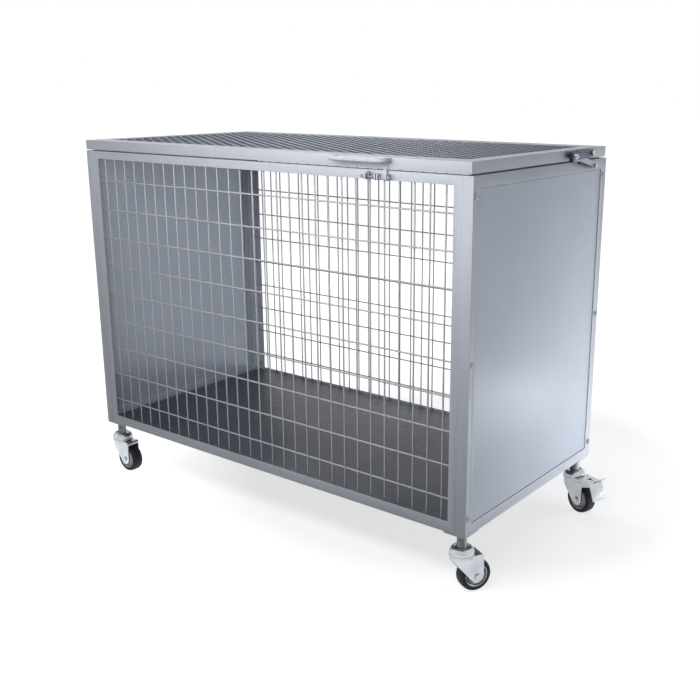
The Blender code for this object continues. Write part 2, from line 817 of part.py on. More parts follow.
# Lid stay: a slotted lower link on the body and an upper link with a stud on the lid
def lid_stay(side, label, lid_pivot):
    body, lid, elbow = stay_points()
    radius = STAY_LINK_WIDTH / 2
    lower_in = HALF_WIDTH + 2 * GAP
    lower_out = lower_in + STAY_PLATE
    upper_in = lower_out + GAP
    upper_out = upper_in + STAY_PLATE
    along = Vector((elbow[0] - body[0], elbow[1] - body[1]))
    length = along.length
    along.normalize()
    outward = Vector((along[1], -along[0]))
    if outward[1] > 0:
        outward = -outward

    lower_pivot = add_empty("stay_%s_lower_pivot" % label, (0.0, *body))
    upper_pivot = add_empty("stay_%s_upper_pivot" % label, (0.0, *lid))
    bpy.context.view_layer.update()

    link = side_prism(side, capsule(body, elbow, radius), lower_in, lower_out)
    body_2d, elbow_2d = Vector(body), Vector(elbow)
    edge = outward * (radius - GAP)
    inner_edge = outward * (radius - GAP - STAY_PLATE)
    start = body_2d + along * STAY_FLANGE_MARGIN
    finish = body_2d + along * (length - STAY_FLANGE_MARGIN)
    flange_outline = [start + inner_edge, finish + inner_edge, finish + edge, start + edge]
    flange = side_prism(side, flange_outline, lower_out - STAY_PLATE / 2, lower_out + STAY_FLANGE_HEIGHT)
    half_travel = along * STAY_SLOT_TRAVEL
    slot_radius = STAY_PIN_RADIUS + STAY_SLOT_PLAY
    slot = side_prism(
        side,
        capsule(tuple(elbow_2d - half_travel), tuple(elbow_2d + half_travel), slot_radius, 4),
        lower_in - GAP, lower_out + GAP,
    )
    pin_hole = side_rod(side, STAY_PIN_RADIUS + RUNNING_GAP, body, lower_in - GAP, lower_out + GAP)
    lower = cut(join(link, flange), slot, pin_hole)
    add_moving("stay_%s_lower_link" % label, lower, "zinc_plate", lower_pivot)

    link = side_prism(side, capsule(lid, elbow, radius), upper_in, upper_out)
    ahead = elbow[0] - STAY_TAB_AHEAD
    strip = side_prism(
        side,
        [
            (elbow[0], elbow[1] - radius),
            (elbow[0], elbow[1] + radius),
            (ahead, elbow[1] + radius),
            (ahead, elbow[1] - radius),
        ],
        upper_in, upper_out,
    )
    tab = side_prism(
        side,
        [
            (ahead - STAY_PLATE / 2, elbow[1] - STAY_TAB_HEIGHT / 2),
            (ahead + STAY_PLATE / 2, elbow[1] - STAY_TAB_HEIGHT / 2),
            (ahead + STAY_PLATE / 2, elbow[1] + STAY_TAB_HEIGHT / 2),
            (ahead - STAY_PLATE / 2, elbow[1] + STAY_TAB_HEIGHT / 2),
        ],
        upper_in, upper_in + STAY_TAB_REACH,
    )
    nut_from = upper_in + STAY_PLATE / 2
    stud = join(
        side_rod(side, STAY_PIN_RADIUS, elbow, lower_in, upper_out + STAY_HEAD_HEIGHT * 3),
        side_rod(side, STAY_HEAD_RADIUS, elbow, nut_from, upper_out + 2 * STAY_HEAD_HEIGHT, 6),
    )
    pin_hole = side_rod(side, STAY_PIN_RADIUS + RUNNING_GAP, lid, upper_in - GAP, upper_out + GAP)
    upper = cut(join(link, strip, tab, stud), pin_hole)
    add_moving("stay_%s_upper_link" % label, upper, "dark_plate", upper_pivot)

    head = lower_out + GAP
    body_bolt = join(
        side_rod(side, STAY_PIN_RADIUS, body, HALF_WIDTH + GAP, head + STAY_HEAD_HEIGHT / 2),
        side_rod(side, STAY_HEAD_RADIUS, body, head, head + STAY_HEAD_HEIGHT, 6),
    )
    add_object("stay_%s_body_bolt" % label, body_bolt, "zinc_plate")
    head = upper_out + GAP
    lid_face = HALF_WIDTH - LID_SIDE_INSET + GAP
    lid_bolt = join(
        side_rod(side, STAY_PIN_RADIUS, lid, lid_face, head + STAY_HEAD_HEIGHT / 2),
        side_rod(side, STAY_HEAD_RADIUS, lid, head, head + STAY_HEAD_HEIGHT, 6),
        side_rod(side, STAY_HEAD_RADIUS, lid, lid_face, upper_in - GAP),
    )
    add_moving("stay_%s_lid_bolt" % label, lid_bolt, "zinc_plate", lid_pivot)


# Lid handle: a round bar bent into a bow, its ends on the lid's front
def lid_handle(pivot):
    wall = CAGE_Y + LID_FRONT - GAP
    out = wall - HANDLE_STANDOFF
    z = LID_TOP - HANDLE_BELOW_TOP
    half = HANDLE_SPAN / 2
    bend = HANDLE_BEND_RADIUS
    path = [(HANDLE_CENTRE_X - half, wall, math.pi / 2)]
    for step in range(BEND_STEPS + 1):
        angle = math.pi / 2 * step / BEND_STEPS
        x = HANDLE_CENTRE_X - half + bend * (1 - math.cos(angle))
        path.append((x, out + bend * (1 - math.sin(angle)), math.pi / 2 - angle))
    path += [(2 * HANDLE_CENTRE_X - x, y, -turn) for x, y, turn in reversed(path)]
    shape = bmesh.new()
    rings = []
    for x, y, turn in path:
        side_x, side_y = math.sin(turn), math.cos(turn)
        ring = []
        for step in range(BAR_SIDES):
            angle = 2 * math.pi * step / BAR_SIDES
            across = HANDLE_BAR_RADIUS * math.cos(angle)
            up = HANDLE_BAR_RADIUS * math.sin(angle)
            ring.append(shape.verts.new((x + across * side_x, y + across * side_y, z + up)))
        rings.append(ring)
    for first, second in zip(rings, rings[1:]):
        for i in range(BAR_SIDES):
            j = (i + 1) % BAR_SIDES
            shape.faces.new((first[i], first[j], second[j], second[i]))
    shape.faces.new(rings[0])
    shape.faces.new(rings[-1])
    return add_moving("lid_handle", shape, "zinc_plate", pivot)


# Slide bolt on the front top rail, and its keeper on the lid
def latch(lid_pivot):
    face = CAGE_Y - HALF_DEPTH - GAP
    plate_front = face - LATCH_PLATE
    rod_y = plate_front - LATCH_BOLT_STANDOFF
    rod_z = TOP_Z - LATCH_BELOW_TOP
    half = LATCH_BASE_LENGTH / 2
    ear_reach = rod_y - LATCH_BOLT_RADIUS * 2
    low_z = rod_z - LATCH_BASE_HEIGHT / 2
    high_z = rod_z + LATCH_BASE_HEIGHT / 2
    base = box(
        (LATCH_CENTRE_X - half, plate_front, low_z),
        (LATCH_CENTRE_X + half, face, high_z),
    )
    for ear_side in (-1, 1):
        outer = LATCH_CENTRE_X + ear_side * half
        inner = outer - ear_side * LATCH_EAR
        ear = box(
            (min(outer, inner), ear_reach, low_z),
            (max(outer, inner), plate_front + LATCH_PLATE / 2, high_z),
        )
        base = join(base, ear)
    hole_radius = LATCH_BOLT_RADIUS + RUNNING_GAP
    hole = rod(hole_radius, 0, (LATCH_CENTRE_X, rod_y, rod_z), -half - GAP, half + GAP, PIN_SIDES)
    add_object("latch_base", cut(base, hole), "zinc_plate")

    rod_low = -half - LATCH_BOLT_TAIL
    rod_high = rod_low + LATCH_BOLT_LENGTH
    knob_at = LATCH_CENTRE_X + LATCH_KNOB_OFFSET
    centre = (LATCH_CENTRE_X, rod_y, rod_z)
    bolt = join(
        rod(LATCH_BOLT_RADIUS, 0, centre, rod_low, rod_high, PIN_SIDES),
        rod(LATCH_KNOB_RADIUS, 2, (knob_at, rod_y, rod_z), 0.0, LATCH_KNOB_HEIGHT, PIN_SIDES),
    )
    slide = add_empty("latch_slide", (LATCH_CENTRE_X, rod_y, rod_z))
    bpy.context.view_layer.update()
    add_moving("latch_bolt", bolt, "zinc_plate", slide)

    left = LATCH_CENTRE_X + half + LATCH_EAR
    right = left + KEEPER_WIDTH
    back = CAGE_Y + LID_FRONT - GAP
    front = back - KEEPER_AHEAD
    middle = (left + right) / 2
    plate = box((left, front, TOP_Z - KEEPER_DROP), (right, back, TOP_Z - KEEPER_TOP))
    strap = box(
        (middle - KEEPER_STRAP / 2, front, TOP_Z - KEEPER_TOP - KEEPER_AHEAD),
        (middle + KEEPER_STRAP / 2, back, LID_BOTTOM + KEEPER_RISE),
    )
    plate = join(plate, strap)
    for x in (left, right - LATCH_EAR):
        ear_foot = TOP_Z - KEEPER_DROP - LATCH_PLATE
        ear = box((x, ear_reach, ear_foot), (x + LATCH_EAR, front + LATCH_PLATE / 2, high_z))
        plate = join(plate, ear)
    hole = rod(hole_radius + GAP, 0, (left, rod_y, rod_z), -GAP, KEEPER_WIDTH + GAP, PIN_SIDES)
    add_moving("latch_keeper", cut(plate, hole), "frame_paint", lid_pivot)


def axle_place():
    return (TRAIL, 0.0, WHEEL_RADIUS)


def fork_half_width():
    return HUB_LENGTH / 2 + RUNNING_GAP + FORK_PLATE


# Castor fork: swivel dome, crown and two legs in one pressing, with the stem above
def castor_fork(swivel, label):
    half = fork_half_width()
    tail = TRAIL + FORK_FOOT_RADIUS
    crown = DOME_BASE + FORK_CROWN / 2
    outline = [(-FORK_NOSE, crown), (-FORK_NOSE, FORK_TOP - FORK_APRON)]
    for step in range(7):
        angle = math.radians(220 + 140 / 6 * step)
        x = TRAIL + FORK_FOOT_RADIUS * math.cos(angle)
        outline.append((x, WHEEL_RADIUS + FORK_FOOT_RADIUS * math.sin(angle)))
    outline += [(tail, FORK_TOP + FORK_CROWN / 2), (tail - FORK_CROWN / 2, crown)]
    body = prism(outline, 1, -half, half)
    inside = half - FORK_PLATE
    wheel_room = box(
        (-FORK_NOSE + FORK_PLATE, -inside, 0.0),
        (TRAIL + WHEEL_RADIUS, inside, FORK_TOP),
    )
    holes = rod(AXLE_RADIUS + RUNNING_GAP, 1, axle_place(), -half - GAP, half + GAP, HOLE_SIDES)
    body = cut(body, wheel_room, holes)
    base, top = DOME_BASE - FORK_CROWN / 4, DOME_TOP
    cup = SOCKET_RADIUS * 1.04
    profile = [
        (0.0, base),
        (DOME_RADIUS * 0.88, base),
        (DOME_RADIUS, base + DOME_HEIGHT * 0.20),
        (DOME_RADIUS, base + DOME_HEIGHT * 0.60),
        (DOME_RADIUS * 0.93, top - DOME_HEIGHT * 0.22),
        (DOME_RADIUS * 0.75, top),
        (DOME_RADIUS * 0.61, top),
        (DOME_RADIUS * 0.61, top - DOME_HEIGHT * 0.18),
        (cup, top - DOME_HEIGHT * 0.18),
        (cup, top),
        (STEM_RADIUS, top),
        (STEM_RADIUS, top + SOCKET_LENGTH - GAP),
        (0.0, top + SOCKET_LENGTH - GAP),
    ]
    dome = turned(profile, 2, (0.0, 0.0, 0.0), DOME_SIDES)
    return add_object("castor_%s_fork" % label, join(body, dome), "zinc_plate", parent=swivel)


# Castor wheel: tyre on a turned hub, running on a through bolt
def castor_wheel(axle, label):
    half = TYRE_WIDTH / 2
    shoulder = TYRE_SHOULDER
    tyre = [
        (TYRE_BORE_RADIUS, -half),
        (WHEEL_RADIUS - shoulder, -half),
        (WHEEL_RADIUS - shoulder * 0.3, -half + shoulder * 0.3),
        (WHEEL_RADIUS, -half + shoulder),
        (WHEEL_RADIUS, half - shoulder),
        (WHEEL_RADIUS - shoulder * 0.3, half - shoulder * 0.3),
        (WHEEL_RADIUS - shoulder, half),
        (TYRE_BORE_RADIUS, half),
    ]
    origin = (0.0, 0.0, 0.0)
    add_object("castor_%s_tyre" % label, turned(tyre, 1, origin, WHEEL_SIDES), "tyre_rubber", parent=axle)
    rim = TYRE_BORE_RADIUS - GAP
    boss = AXLE_RADIUS * 2.4
    bore = AXLE_RADIUS + RUNNING_GAP
    hub = [
        (bore, -HUB_LENGTH / 2),
        (boss, -HUB_LENGTH / 2),
        (boss, -HUB_WEB / 2),
        (rim - FORK_PLATE, -HUB_WEB / 2),
        (rim - FORK_PLATE, -half),
        (rim, -half),
        (rim, half),
        (rim - FORK_PLATE, half),
        (rim - FORK_PLATE, HUB_WEB / 2),
        (boss, HUB_WEB / 2),
        (boss, HUB_LENGTH / 2),
        (bore, HUB_LENGTH / 2),
    ]
    add_object("castor_%s_hub" % label, turned(hub, 1, origin, WHEEL_SIDES // 2), "hub_metal", parent=axle)


def castor_axle(swivel, label):
    half = fork_half_width() + GAP
    thread_end = half + AXLE_HEAD_HEIGHT * 1.4
    bolt = join(
        rod(AXLE_RADIUS, 1, axle_place(), -half - AXLE_HEAD_HEIGHT, thread_end, HOLE_SIDES),
        rod(AXLE_HEAD_RADIUS, 1, axle_place(), -half - AXLE_HEAD_HEIGHT, -half, 6),
        rod(AXLE_HEAD_RADIUS, 1, axle_place(), half, half + AXLE_HEAD_HEIGHT, 6),
    )
    return add_object("castor_%s_axle" % label, bolt, "zinc_plate", parent=swivel, origin=axle_place())


def pedal_pivot_place():
    return (PEDAL_PIVOT_FROM_STEM, 0.0, 2 * WHEEL_RADIUS + PEDAL_PIVOT_ABOVE_WHEEL)


# Brake pedal: two cheeks outside the fork legs, a plate over the wheel with a three-sided window,
# a tread bent down past the wheel and a tab bent up from the plate to let the brake off
def brake_pedal(swivel, label):
    inner = fork_half_width() + GAP
    outer = inner + PEDAL_SHEET
    top = 2 * WHEEL_RADIUS + PEDAL_TOP_ABOVE_WHEEL
    under = top - PEDAL_SHEET
    cheek = [
        (PEDAL_HEEL, top - PEDAL_CHEEK_DROP),
        (TRAIL + FORK_FOOT_RADIUS, top - PEDAL_CHEEK_DROP - PEDAL_SHEET),
        (PEDAL_KNEE, top - PEDAL_KNEE_DEPTH),
        (PEDAL_KNEE, top),
        (PEDAL_HEEL, top),
    ]
    tip = PEDAL_KNEE + PEDAL_TREAD_LENGTH
    tread = [
        (PEDAL_TOP_START, under),
        (PEDAL_KNEE - PEDAL_SHEET, under),
        (tip - PEDAL_SHEET, top - PEDAL_TREAD_DROP),
        (tip, top - PEDAL_TREAD_DROP),
        (PEDAL_KNEE, top),
        (PEDAL_TOP_START, top),
    ]
    tab = [
        (PEDAL_TAB_START - PEDAL_SHEET, top - PEDAL_SHEET / 2),
        (PEDAL_TAB_START + PEDAL_SHEET, top - PEDAL_SHEET / 2),
        (PEDAL_TAB_START + PEDAL_TAB_LENGTH, top + PEDAL_TAB_RISE - PEDAL_SHEET),
        (PEDAL_TAB_START + PEDAL_TAB_LENGTH - PEDAL_SHEET, top + PEDAL_TAB_RISE),
    ]
    window = [
        (PEDAL_WINDOW_START, -PEDAL_WINDOW_LOW),
        (PEDAL_WINDOW_START + PEDAL_WINDOW_LENGTH, (PEDAL_WINDOW_HIGH - PEDAL_WINDOW_LOW) / 2),
        (PEDAL_WINDOW_START, PEDAL_WINDOW_HIGH),
    ]
    pivot = add_empty("castor_%s_pedal_pivot" % label, pedal_pivot_place(), parent=swivel)
    plate = cut(prism(tread, 1, -outer, outer), prism(window, 2, under - GAP, top + GAP))
    pedal = join(
        plate,
        prism(tab, 1, -PEDAL_TAB_INNER, outer),
        prism(cheek, 1, -outer, -inner),
        prism(cheek, 1, inner, outer),
    )
    bmesh.ops.translate(pedal, verts=pedal.verts, vec=-Vector(pedal_pivot_place()))
    return add_object("castor_%s_brake_pedal" % label, pedal, "zinc_plate", parent=pivot)


def castor(side, end, label, degrees, braked):
    x, y = socket_centre(side, end)
    swivel = add_empty("castor_%s_swivel" % label, (x, y, 0.0), turn=math.radians(degrees))
    axle = add_empty("castor_%s_wheel_axis" % label, axle_place(), parent=swivel)
    castor_fork(swivel, label)
    castor_axle(swivel, label)
    castor_wheel(axle, label)
    if braked:
        brake_pedal(swivel, label)


def build():
    clear_scene()
    lid_pivot = add_empty("lid_pivot", (0.0, CAGE_Y + HINGE_Y, HINGE_Z))
    bpy.context.view_layer.update()
    for side, label in ((1, "right"), (-1, "left")):
        side_frame(side, label)
        side_panel(side, label)
        for end, where in ((-1, "front"), (1, "rear")):
            for level, z in corner_bolt_heights().items():
                corner_bolt(side, end, z, "corner_bolt_%s_%s_%s" % (where, label, level))
        hinge(side, label, lid_pivot)
        lid_stay(side, label, lid_pivot)
    for end, label in ((-1, "front"), (1, "rear")):
        mesh_panel_frame(end, label)
        wire_mesh(end, label)
    floor_tray()
    lid_frame(lid_pivot)
    lid_net(lid_pivot)
    lid_handle(lid_pivot)
    latch(lid_pivot)
    castor(1, -1, "front_right", FRONT_RIGHT_SWIVEL, False)
    castor(-1, -1, "front_left", FRONT_LEFT_SWIVEL, False)
    castor(1, 1, "rear_right", REAR_RIGHT_SWIVEL, True)
    castor(-1, 1, "rear_left", REAR_LEFT_SWIVEL, True)


build()
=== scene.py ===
# %% [markdown]
# # A wheeled storage cage
#
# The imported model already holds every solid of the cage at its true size: two tube sides with
# sheet panels, wire mesh at the front and the rear, a hinged lid of expanded metal, and four
# castors. This lesson dresses those solids. Plain sheet and tube pieces are copied and get
# rounded edges, because no real edge is razor sharp. Wire, expanded metal, wheels and bolts
# are modelled anew, because their roundness is what the eye looks for.

import math

import bpy
from mathutils import Matrix, Vector
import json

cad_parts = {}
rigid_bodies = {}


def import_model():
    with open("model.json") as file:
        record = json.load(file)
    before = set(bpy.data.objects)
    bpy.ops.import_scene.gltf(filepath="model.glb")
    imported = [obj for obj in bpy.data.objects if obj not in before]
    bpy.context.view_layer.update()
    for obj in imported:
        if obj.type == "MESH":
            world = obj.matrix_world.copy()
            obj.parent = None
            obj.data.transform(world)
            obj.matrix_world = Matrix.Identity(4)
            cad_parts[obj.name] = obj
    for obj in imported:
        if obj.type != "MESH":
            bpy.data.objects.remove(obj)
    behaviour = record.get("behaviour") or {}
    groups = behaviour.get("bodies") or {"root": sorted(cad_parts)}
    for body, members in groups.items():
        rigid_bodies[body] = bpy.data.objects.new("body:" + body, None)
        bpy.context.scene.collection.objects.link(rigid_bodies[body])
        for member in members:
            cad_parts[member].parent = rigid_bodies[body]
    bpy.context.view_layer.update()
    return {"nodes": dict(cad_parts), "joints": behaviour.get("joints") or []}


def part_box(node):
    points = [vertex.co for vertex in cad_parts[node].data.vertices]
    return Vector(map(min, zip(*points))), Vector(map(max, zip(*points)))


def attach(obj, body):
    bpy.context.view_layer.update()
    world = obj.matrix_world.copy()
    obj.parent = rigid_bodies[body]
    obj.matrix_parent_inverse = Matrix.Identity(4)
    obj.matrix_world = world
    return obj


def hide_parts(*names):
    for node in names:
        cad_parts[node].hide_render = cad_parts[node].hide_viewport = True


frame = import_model()
nodes = frame["nodes"]

# %% [markdown]
# An operator works on whatever is selected, and loading leaves every node selected. So each
# step first picks its own piece. A finished piece keeps its place in its mesh, with its object
# at the origin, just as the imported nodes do.

# %% Picking and placing


def pick(*pieces):
    if bpy.context.mode != "OBJECT":
        bpy.ops.object.mode_set(mode="OBJECT")
    bpy.ops.object.select_all(action="DESELECT")
    for piece in pieces:
        piece.select_set(True)
    if pieces:
        bpy.context.view_layer.objects.active = pieces[0]


def settle(piece, name):
    """Name a piece and move its place, turn and scale into its mesh."""
    pick(piece)
    bpy.ops.object.transform_apply(location=True, rotation=True, scale=True)
    piece.name = name
    piece.data.name = name
    return piece


def apply_modifiers(piece):
    pick(piece)
    for modifier in list(piece.modifiers):
        bpy.ops.object.modifier_apply(modifier=modifier.name)


def smooth(piece, degrees=35):
    pick(piece)
    bpy.ops.object.shade_smooth_by_angle(angle=math.radians(degrees))
    return piece


def soften(piece, width, segments=2, degrees=30):
    """Round each edge that turns by more than the given angle."""
    bevel = piece.modifiers.new("soft edges", "BEVEL")
    bevel.width = width
    bevel.segments = segments
    bevel.limit_method = "ANGLE"
    bevel.angle_limit = math.radians(degrees)
    apply_modifiers(piece)
    return smooth(piece)


def join(name, *pieces):
    pick(*pieces)
    bpy.ops.object.join()
    return settle(pieces[0], name)


def copy_of(piece, name, place):
    """Copy a piece with a mesh of its own, and move the copy by a matrix."""
    twin = bpy.data.objects.new(name, piece.data.copy())
    bpy.context.scene.collection.objects.link(twin)
    twin.matrix_world = place
    return settle(twin, name)


def discard(*pieces):
    for piece in pieces:
        bpy.data.objects.remove(piece, do_unlink=True)


def hand_over(piece, body, slot, finish, *stands_for):
    """Give a piece its finish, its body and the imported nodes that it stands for."""
    piece.data.materials.clear()
    piece.data.materials.append(finish)
    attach(piece, body)
    if stands_for:
        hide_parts(*stands_for)
    return piece


pick()
print("helpers ready;", len(nodes), "packed nodes")

# %% [markdown]
# Three ways of shaping cover nearly all of this cage: an outline pulled into a plate, a profile
# spun round an axis for whatever came off a lathe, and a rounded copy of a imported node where
# the node's shape is already right.

# %% Three ways of shaping
SEAM_MERGE = 0.000001
NODE_MERGE = 0.00001
FLAT_TURN = math.radians(0.5)
WHEEL_STEPS, BOLT_STEPS, PIN_STEPS, RIVET_STEPS = 72, 32, 24, 20


def plate(name, outline, thickness, place):
    """Pull a closed outline to a thickness, then stand it where the matrix says."""
    pick()
    bpy.ops.mesh.primitive_circle_add(vertices=len(outline), fill_type="NGON")
    piece = bpy.context.active_object
    for vertex, (across, up) in zip(piece.data.vertices, outline):
        vertex.co = (across, up, 0)
    bpy.ops.object.mode_set(mode="EDIT")
    bpy.ops.mesh.select_all(action="SELECT")
    bpy.ops.mesh.extrude_region_move(TRANSFORM_OT_translate={"value": (0, 0, thickness)})
    bpy.ops.mesh.select_all(action="SELECT")
    bpy.ops.mesh.normals_make_consistent(inside=False)
    bpy.ops.object.mode_set(mode="OBJECT")
    piece.matrix_world = place
    return settle(piece, name)


def lathe(name, profile, steps, closed, place=None):
    """Spin (radius, height) points round Z. An open profile starts and ends on the axis."""
    pick()
    bpy.ops.mesh.primitive_circle_add(vertices=len(profile))
    piece = bpy.context.active_object
    for vertex, (radius, height) in zip(piece.data.vertices, profile):
        vertex.co = (radius, 0, height)
    if not closed:
        ends = {0, len(profile) - 1}
        for vertex in piece.data.vertices:
            vertex.select = vertex.index in ends
        for edge in piece.data.edges:
            edge.select = set(edge.vertices) == ends
        bpy.ops.object.mode_set(mode="EDIT")
        bpy.ops.mesh.delete(type="EDGE")
    bpy.ops.object.mode_set(mode="EDIT")
    bpy.ops.mesh.select_all(action="SELECT")
    bpy.ops.mesh.spin(steps=steps, angle=math.tau, center=(0, 0, 0), axis=(0, 0, 1))
    bpy.ops.mesh.select_all(action="SELECT")
    bpy.ops.mesh.remove_doubles(threshold=SEAM_MERGE)
    bpy.ops.mesh.delete_loose()
    bpy.ops.mesh.select_all(action="SELECT")
    bpy.ops.mesh.normals_make_consistent(inside=False)
    bpy.ops.object.mode_set(mode="OBJECT")
    if place is not None:
        piece.matrix_world = place
    return smooth(settle(piece, name))


def rounded_copy(node, name, width, segments=2):
    """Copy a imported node, merge its triangles into faces and round its edges."""
    piece = bpy.data.objects.new(name, nodes[node].data.copy())
    bpy.context.scene.collection.objects.link(piece)
    pick(piece)
    bpy.ops.mesh.customdata_custom_splitnormals_clear()
    bpy.ops.object.mode_set(mode="EDIT")
    bpy.ops.mesh.select_all(action="SELECT")
    bpy.ops.mesh.remove_doubles(threshold=NODE_MERGE)
    bpy.ops.mesh.dissolve_limited(angle_limit=FLAT_TURN)
    bpy.ops.object.mode_set(mode="OBJECT")
    settle(piece, name)
    return soften(piece, width, segments)


def carve(piece, operation, *tools):
    """Cut the tools from a piece (DIFFERENCE), or keep what lies inside them (INTERSECT)."""
    for tool in tools:
        boolean = piece.modifiers.new("carve", "BOOLEAN")
        boolean.operation = operation
        boolean.solver = "EXACT"
        boolean.object = tool
        apply_modifiers(piece)
    discard(*tools)
    return piece


def along(start, direction):
    """A matrix that puts Z along a direction, starting from a point."""
    turn = Vector((0, 0, 1)).rotation_difference(Vector(direction))
    return Matrix.Translation(start) @ turn.to_matrix().to_4x4()


print("shaping helpers ready")

# %% [markdown]
# ## Finishes
#
# The steel is powder coated in a silver grey that holds fine metal flakes, so it is partly
# metallic, and its skin has the faint orange peel of baked powder. Every finish is made of
# noise on object coordinates: one broad noise moves the colour a little, one finer noise moves
# the gloss, and the finest one lifts the surface.

# %% The parts of a finish
NOISE_LOW, NOISE_HIGH = 0.3, 0.7  # nearly all of a noise lies between these
COLOUR_A, COLOUR_B, COLOUR_RESULT = 6, 7, 2  # the sockets of a Mix node that carry colour
RELIEF_DEPTH = 0.0002


def start_finish(name, roughness, metallic):
    finish = bpy.data.materials.new(name)
    finish.use_nodes = True
    shader = finish.node_tree.nodes["Principled BSDF"]
    shader.inputs["Metallic"].default_value = metallic
    shader.inputs["Roughness"].default_value = roughness
    return finish, finish.node_tree, shader


def noise(tree, scale, detail, stretch=(1, 1, 1)):
    place = tree.nodes.new("ShaderNodeTexCoord")
    mapping = tree.nodes.new("ShaderNodeMapping")
    mapping.inputs["Scale"].default_value = stretch
    texture = tree.nodes.new("ShaderNodeTexNoise")
    texture.inputs["Scale"].default_value = scale
    texture.inputs["Detail"].default_value = detail
    tree.links.new(place.outputs["Object"], mapping.inputs["Vector"])
    tree.links.new(mapping.outputs["Vector"], texture.inputs["Vector"])
    return texture.outputs["Fac"]


def spread(tree, value, low, high):
    """Turn a noise into a number between two limits."""
    range_node = tree.nodes.new("ShaderNodeMapRange")
    range_node.inputs["From Min"].default_value = NOISE_LOW
    range_node.inputs["From Max"].default_value = NOISE_HIGH
    range_node.inputs["To Min"].default_value = low
    range_node.inputs["To Max"].default_value = high
    tree.links.new(value, range_node.inputs["Value"])
    return range_node.outputs["Result"]


def blend_colours(tree, value, first, second):
    """The first colour where the value is 0, the second where it is 1."""
    mix = tree.nodes.new("ShaderNodeMix")
    mix.data_type = "RGBA"
    mix.inputs[COLOUR_A].default_value = (*first, 1)
    mix.inputs[COLOUR_B].default_value = (*second, 1)
    tree.links.new(value, mix.inputs["Factor"])
    return mix.outputs[COLOUR_RESULT]


def raise_surface(tree, shader, height, strength):
    bump = tree.nodes.new("ShaderNodeBump")
    bump.inputs["Strength"].default_value = strength
    bump.inputs["Distance"].default_value = RELIEF_DEPTH
    tree.links.new(height, bump.inputs["Height"])
    tree.links.new(bump.outputs["Normal"], shader.inputs["Normal"])


print("noise, blend and relief ready")

# %% Powder coated steel
CLOUD_SCALE, POWDER_SCALE, PEEL_SCALE = 5, 60, 900
ORANGE_PEEL = 0.12


def powder_coat(name, dark, light, roughness, metallic):
    """Baked powder: small clouds of tone, uneven gloss and orange peel."""
    finish, tree, shader = start_finish(name, roughness, metallic)
    tone = spread(tree, noise(tree, CLOUD_SCALE, 4), 0, 1)
    tree.links.new(blend_colours(tree, tone, dark, light), shader.inputs["Base Color"])
    gloss = spread(tree, noise(tree, POWDER_SCALE, 3), roughness - 0.04, roughness + 0.05)
    tree.links.new(gloss, shader.inputs["Roughness"])
    raise_surface(tree, shader, noise(tree, PEEL_SCALE, 1), ORANGE_PEEL)
    return finish


frame_coat = powder_coat(
    "frame powder coat", (0.325, 0.345, 0.385), (0.365, 0.385, 0.425), 0.38, 0.10
)
panel_coat = powder_coat(
    "panel powder coat", (0.325, 0.365, 0.43), (0.355, 0.395, 0.46), 0.36, 0.25
)
mesh_coat = powder_coat(
    "mesh powder coat", (0.34, 0.345, 0.365), (0.40, 0.405, 0.425), 0.38, 0.25
)
# The lid's expanded metal takes the mesh paint, darkened as painted shade on its strands.
net_coat_painted_shade = powder_coat(
    "net powder coat", (0.13, 0.145, 0.18), (0.17, 0.185, 0.22), 0.38, 0.25
)
floor_coat = powder_coat(
    "floor powder coat", (0.045, 0.05, 0.065), (0.07, 0.075, 0.09), 0.45, 0.2
)
print("powder coats made")

# %% [markdown]
# Forks, bolts, the latch's bolt and the stays are zinc plated. Bright zinc is nearly a mirror,
# but the pressing and rolling of the sheet below it leaves fine drawn lines, so its noise is
# stretched along one direction. Rubber is the opposite: no metal in it, dull, with a dusty bloom.

# %% Zinc plate
SPANGLE_SCALE, LINE_SCALE = 35, 120
DRAWN_LINES = (1, 1, 14)
LINE_RELIEF = 0.08


def plated(name, dark, light, roughness):
    """Zinc on rolled sheet: tone in patches, gloss and relief in drawn lines."""
    finish, tree, shader = start_finish(name, roughness, 1.0)
    tone = spread(tree, noise(tree, SPANGLE_SCALE, 3), 0, 1)
    tree.links.new(blend_colours(tree, tone, dark, light), shader.inputs["Base Color"])
    lines = noise(tree, LINE_SCALE, 2, DRAWN_LINES)
    gloss = spread(tree, lines, roughness - 0.07, roughness + 0.09)
    tree.links.new(gloss, shader.inputs["Roughness"])
    raise_surface(tree, shader, lines, LINE_RELIEF)
    return finish


zinc = plated("bright zinc", (0.46, 0.49, 0.52), (0.60, 0.63, 0.66), 0.28)
dull_zinc = plated("greyed zinc", (0.26, 0.30, 0.31), (0.36, 0.40, 0.41), 0.38)
# A near-black copy of the zinc: painted shade for the upper links and the lower links' lips.
zinc_painted_shade = plated("dark zinc", (0.05, 0.07, 0.10), (0.09, 0.11, 0.15), 0.32)
print("zinc finishes made")

# %% Rubber and moulded wheel centres
BLOOM_SCALE, RUB_SCALE, GRAIN_SCALE = 40, 90, 1400


def moulded(name, dark, light, roughness, grain):
    """Rubber or plastic from a mould: a dusty bloom, rubbed patches and a fine grain."""
    finish, tree, shader = start_finish(name, roughness, 0.0)
    tone = spread(tree, noise(tree, BLOOM_SCALE, 4), 0, 1)
    tree.links.new(blend_colours(tree, tone, dark, light), shader.inputs["Base Color"])
    gloss = spread(tree, noise(tree, RUB_SCALE, 2), roughness - 0.06, roughness + 0.08)
    tree.links.new(gloss, shader.inputs["Roughness"])
    raise_surface(tree, shader, noise(tree, GRAIN_SCALE, 1), grain)
    return finish


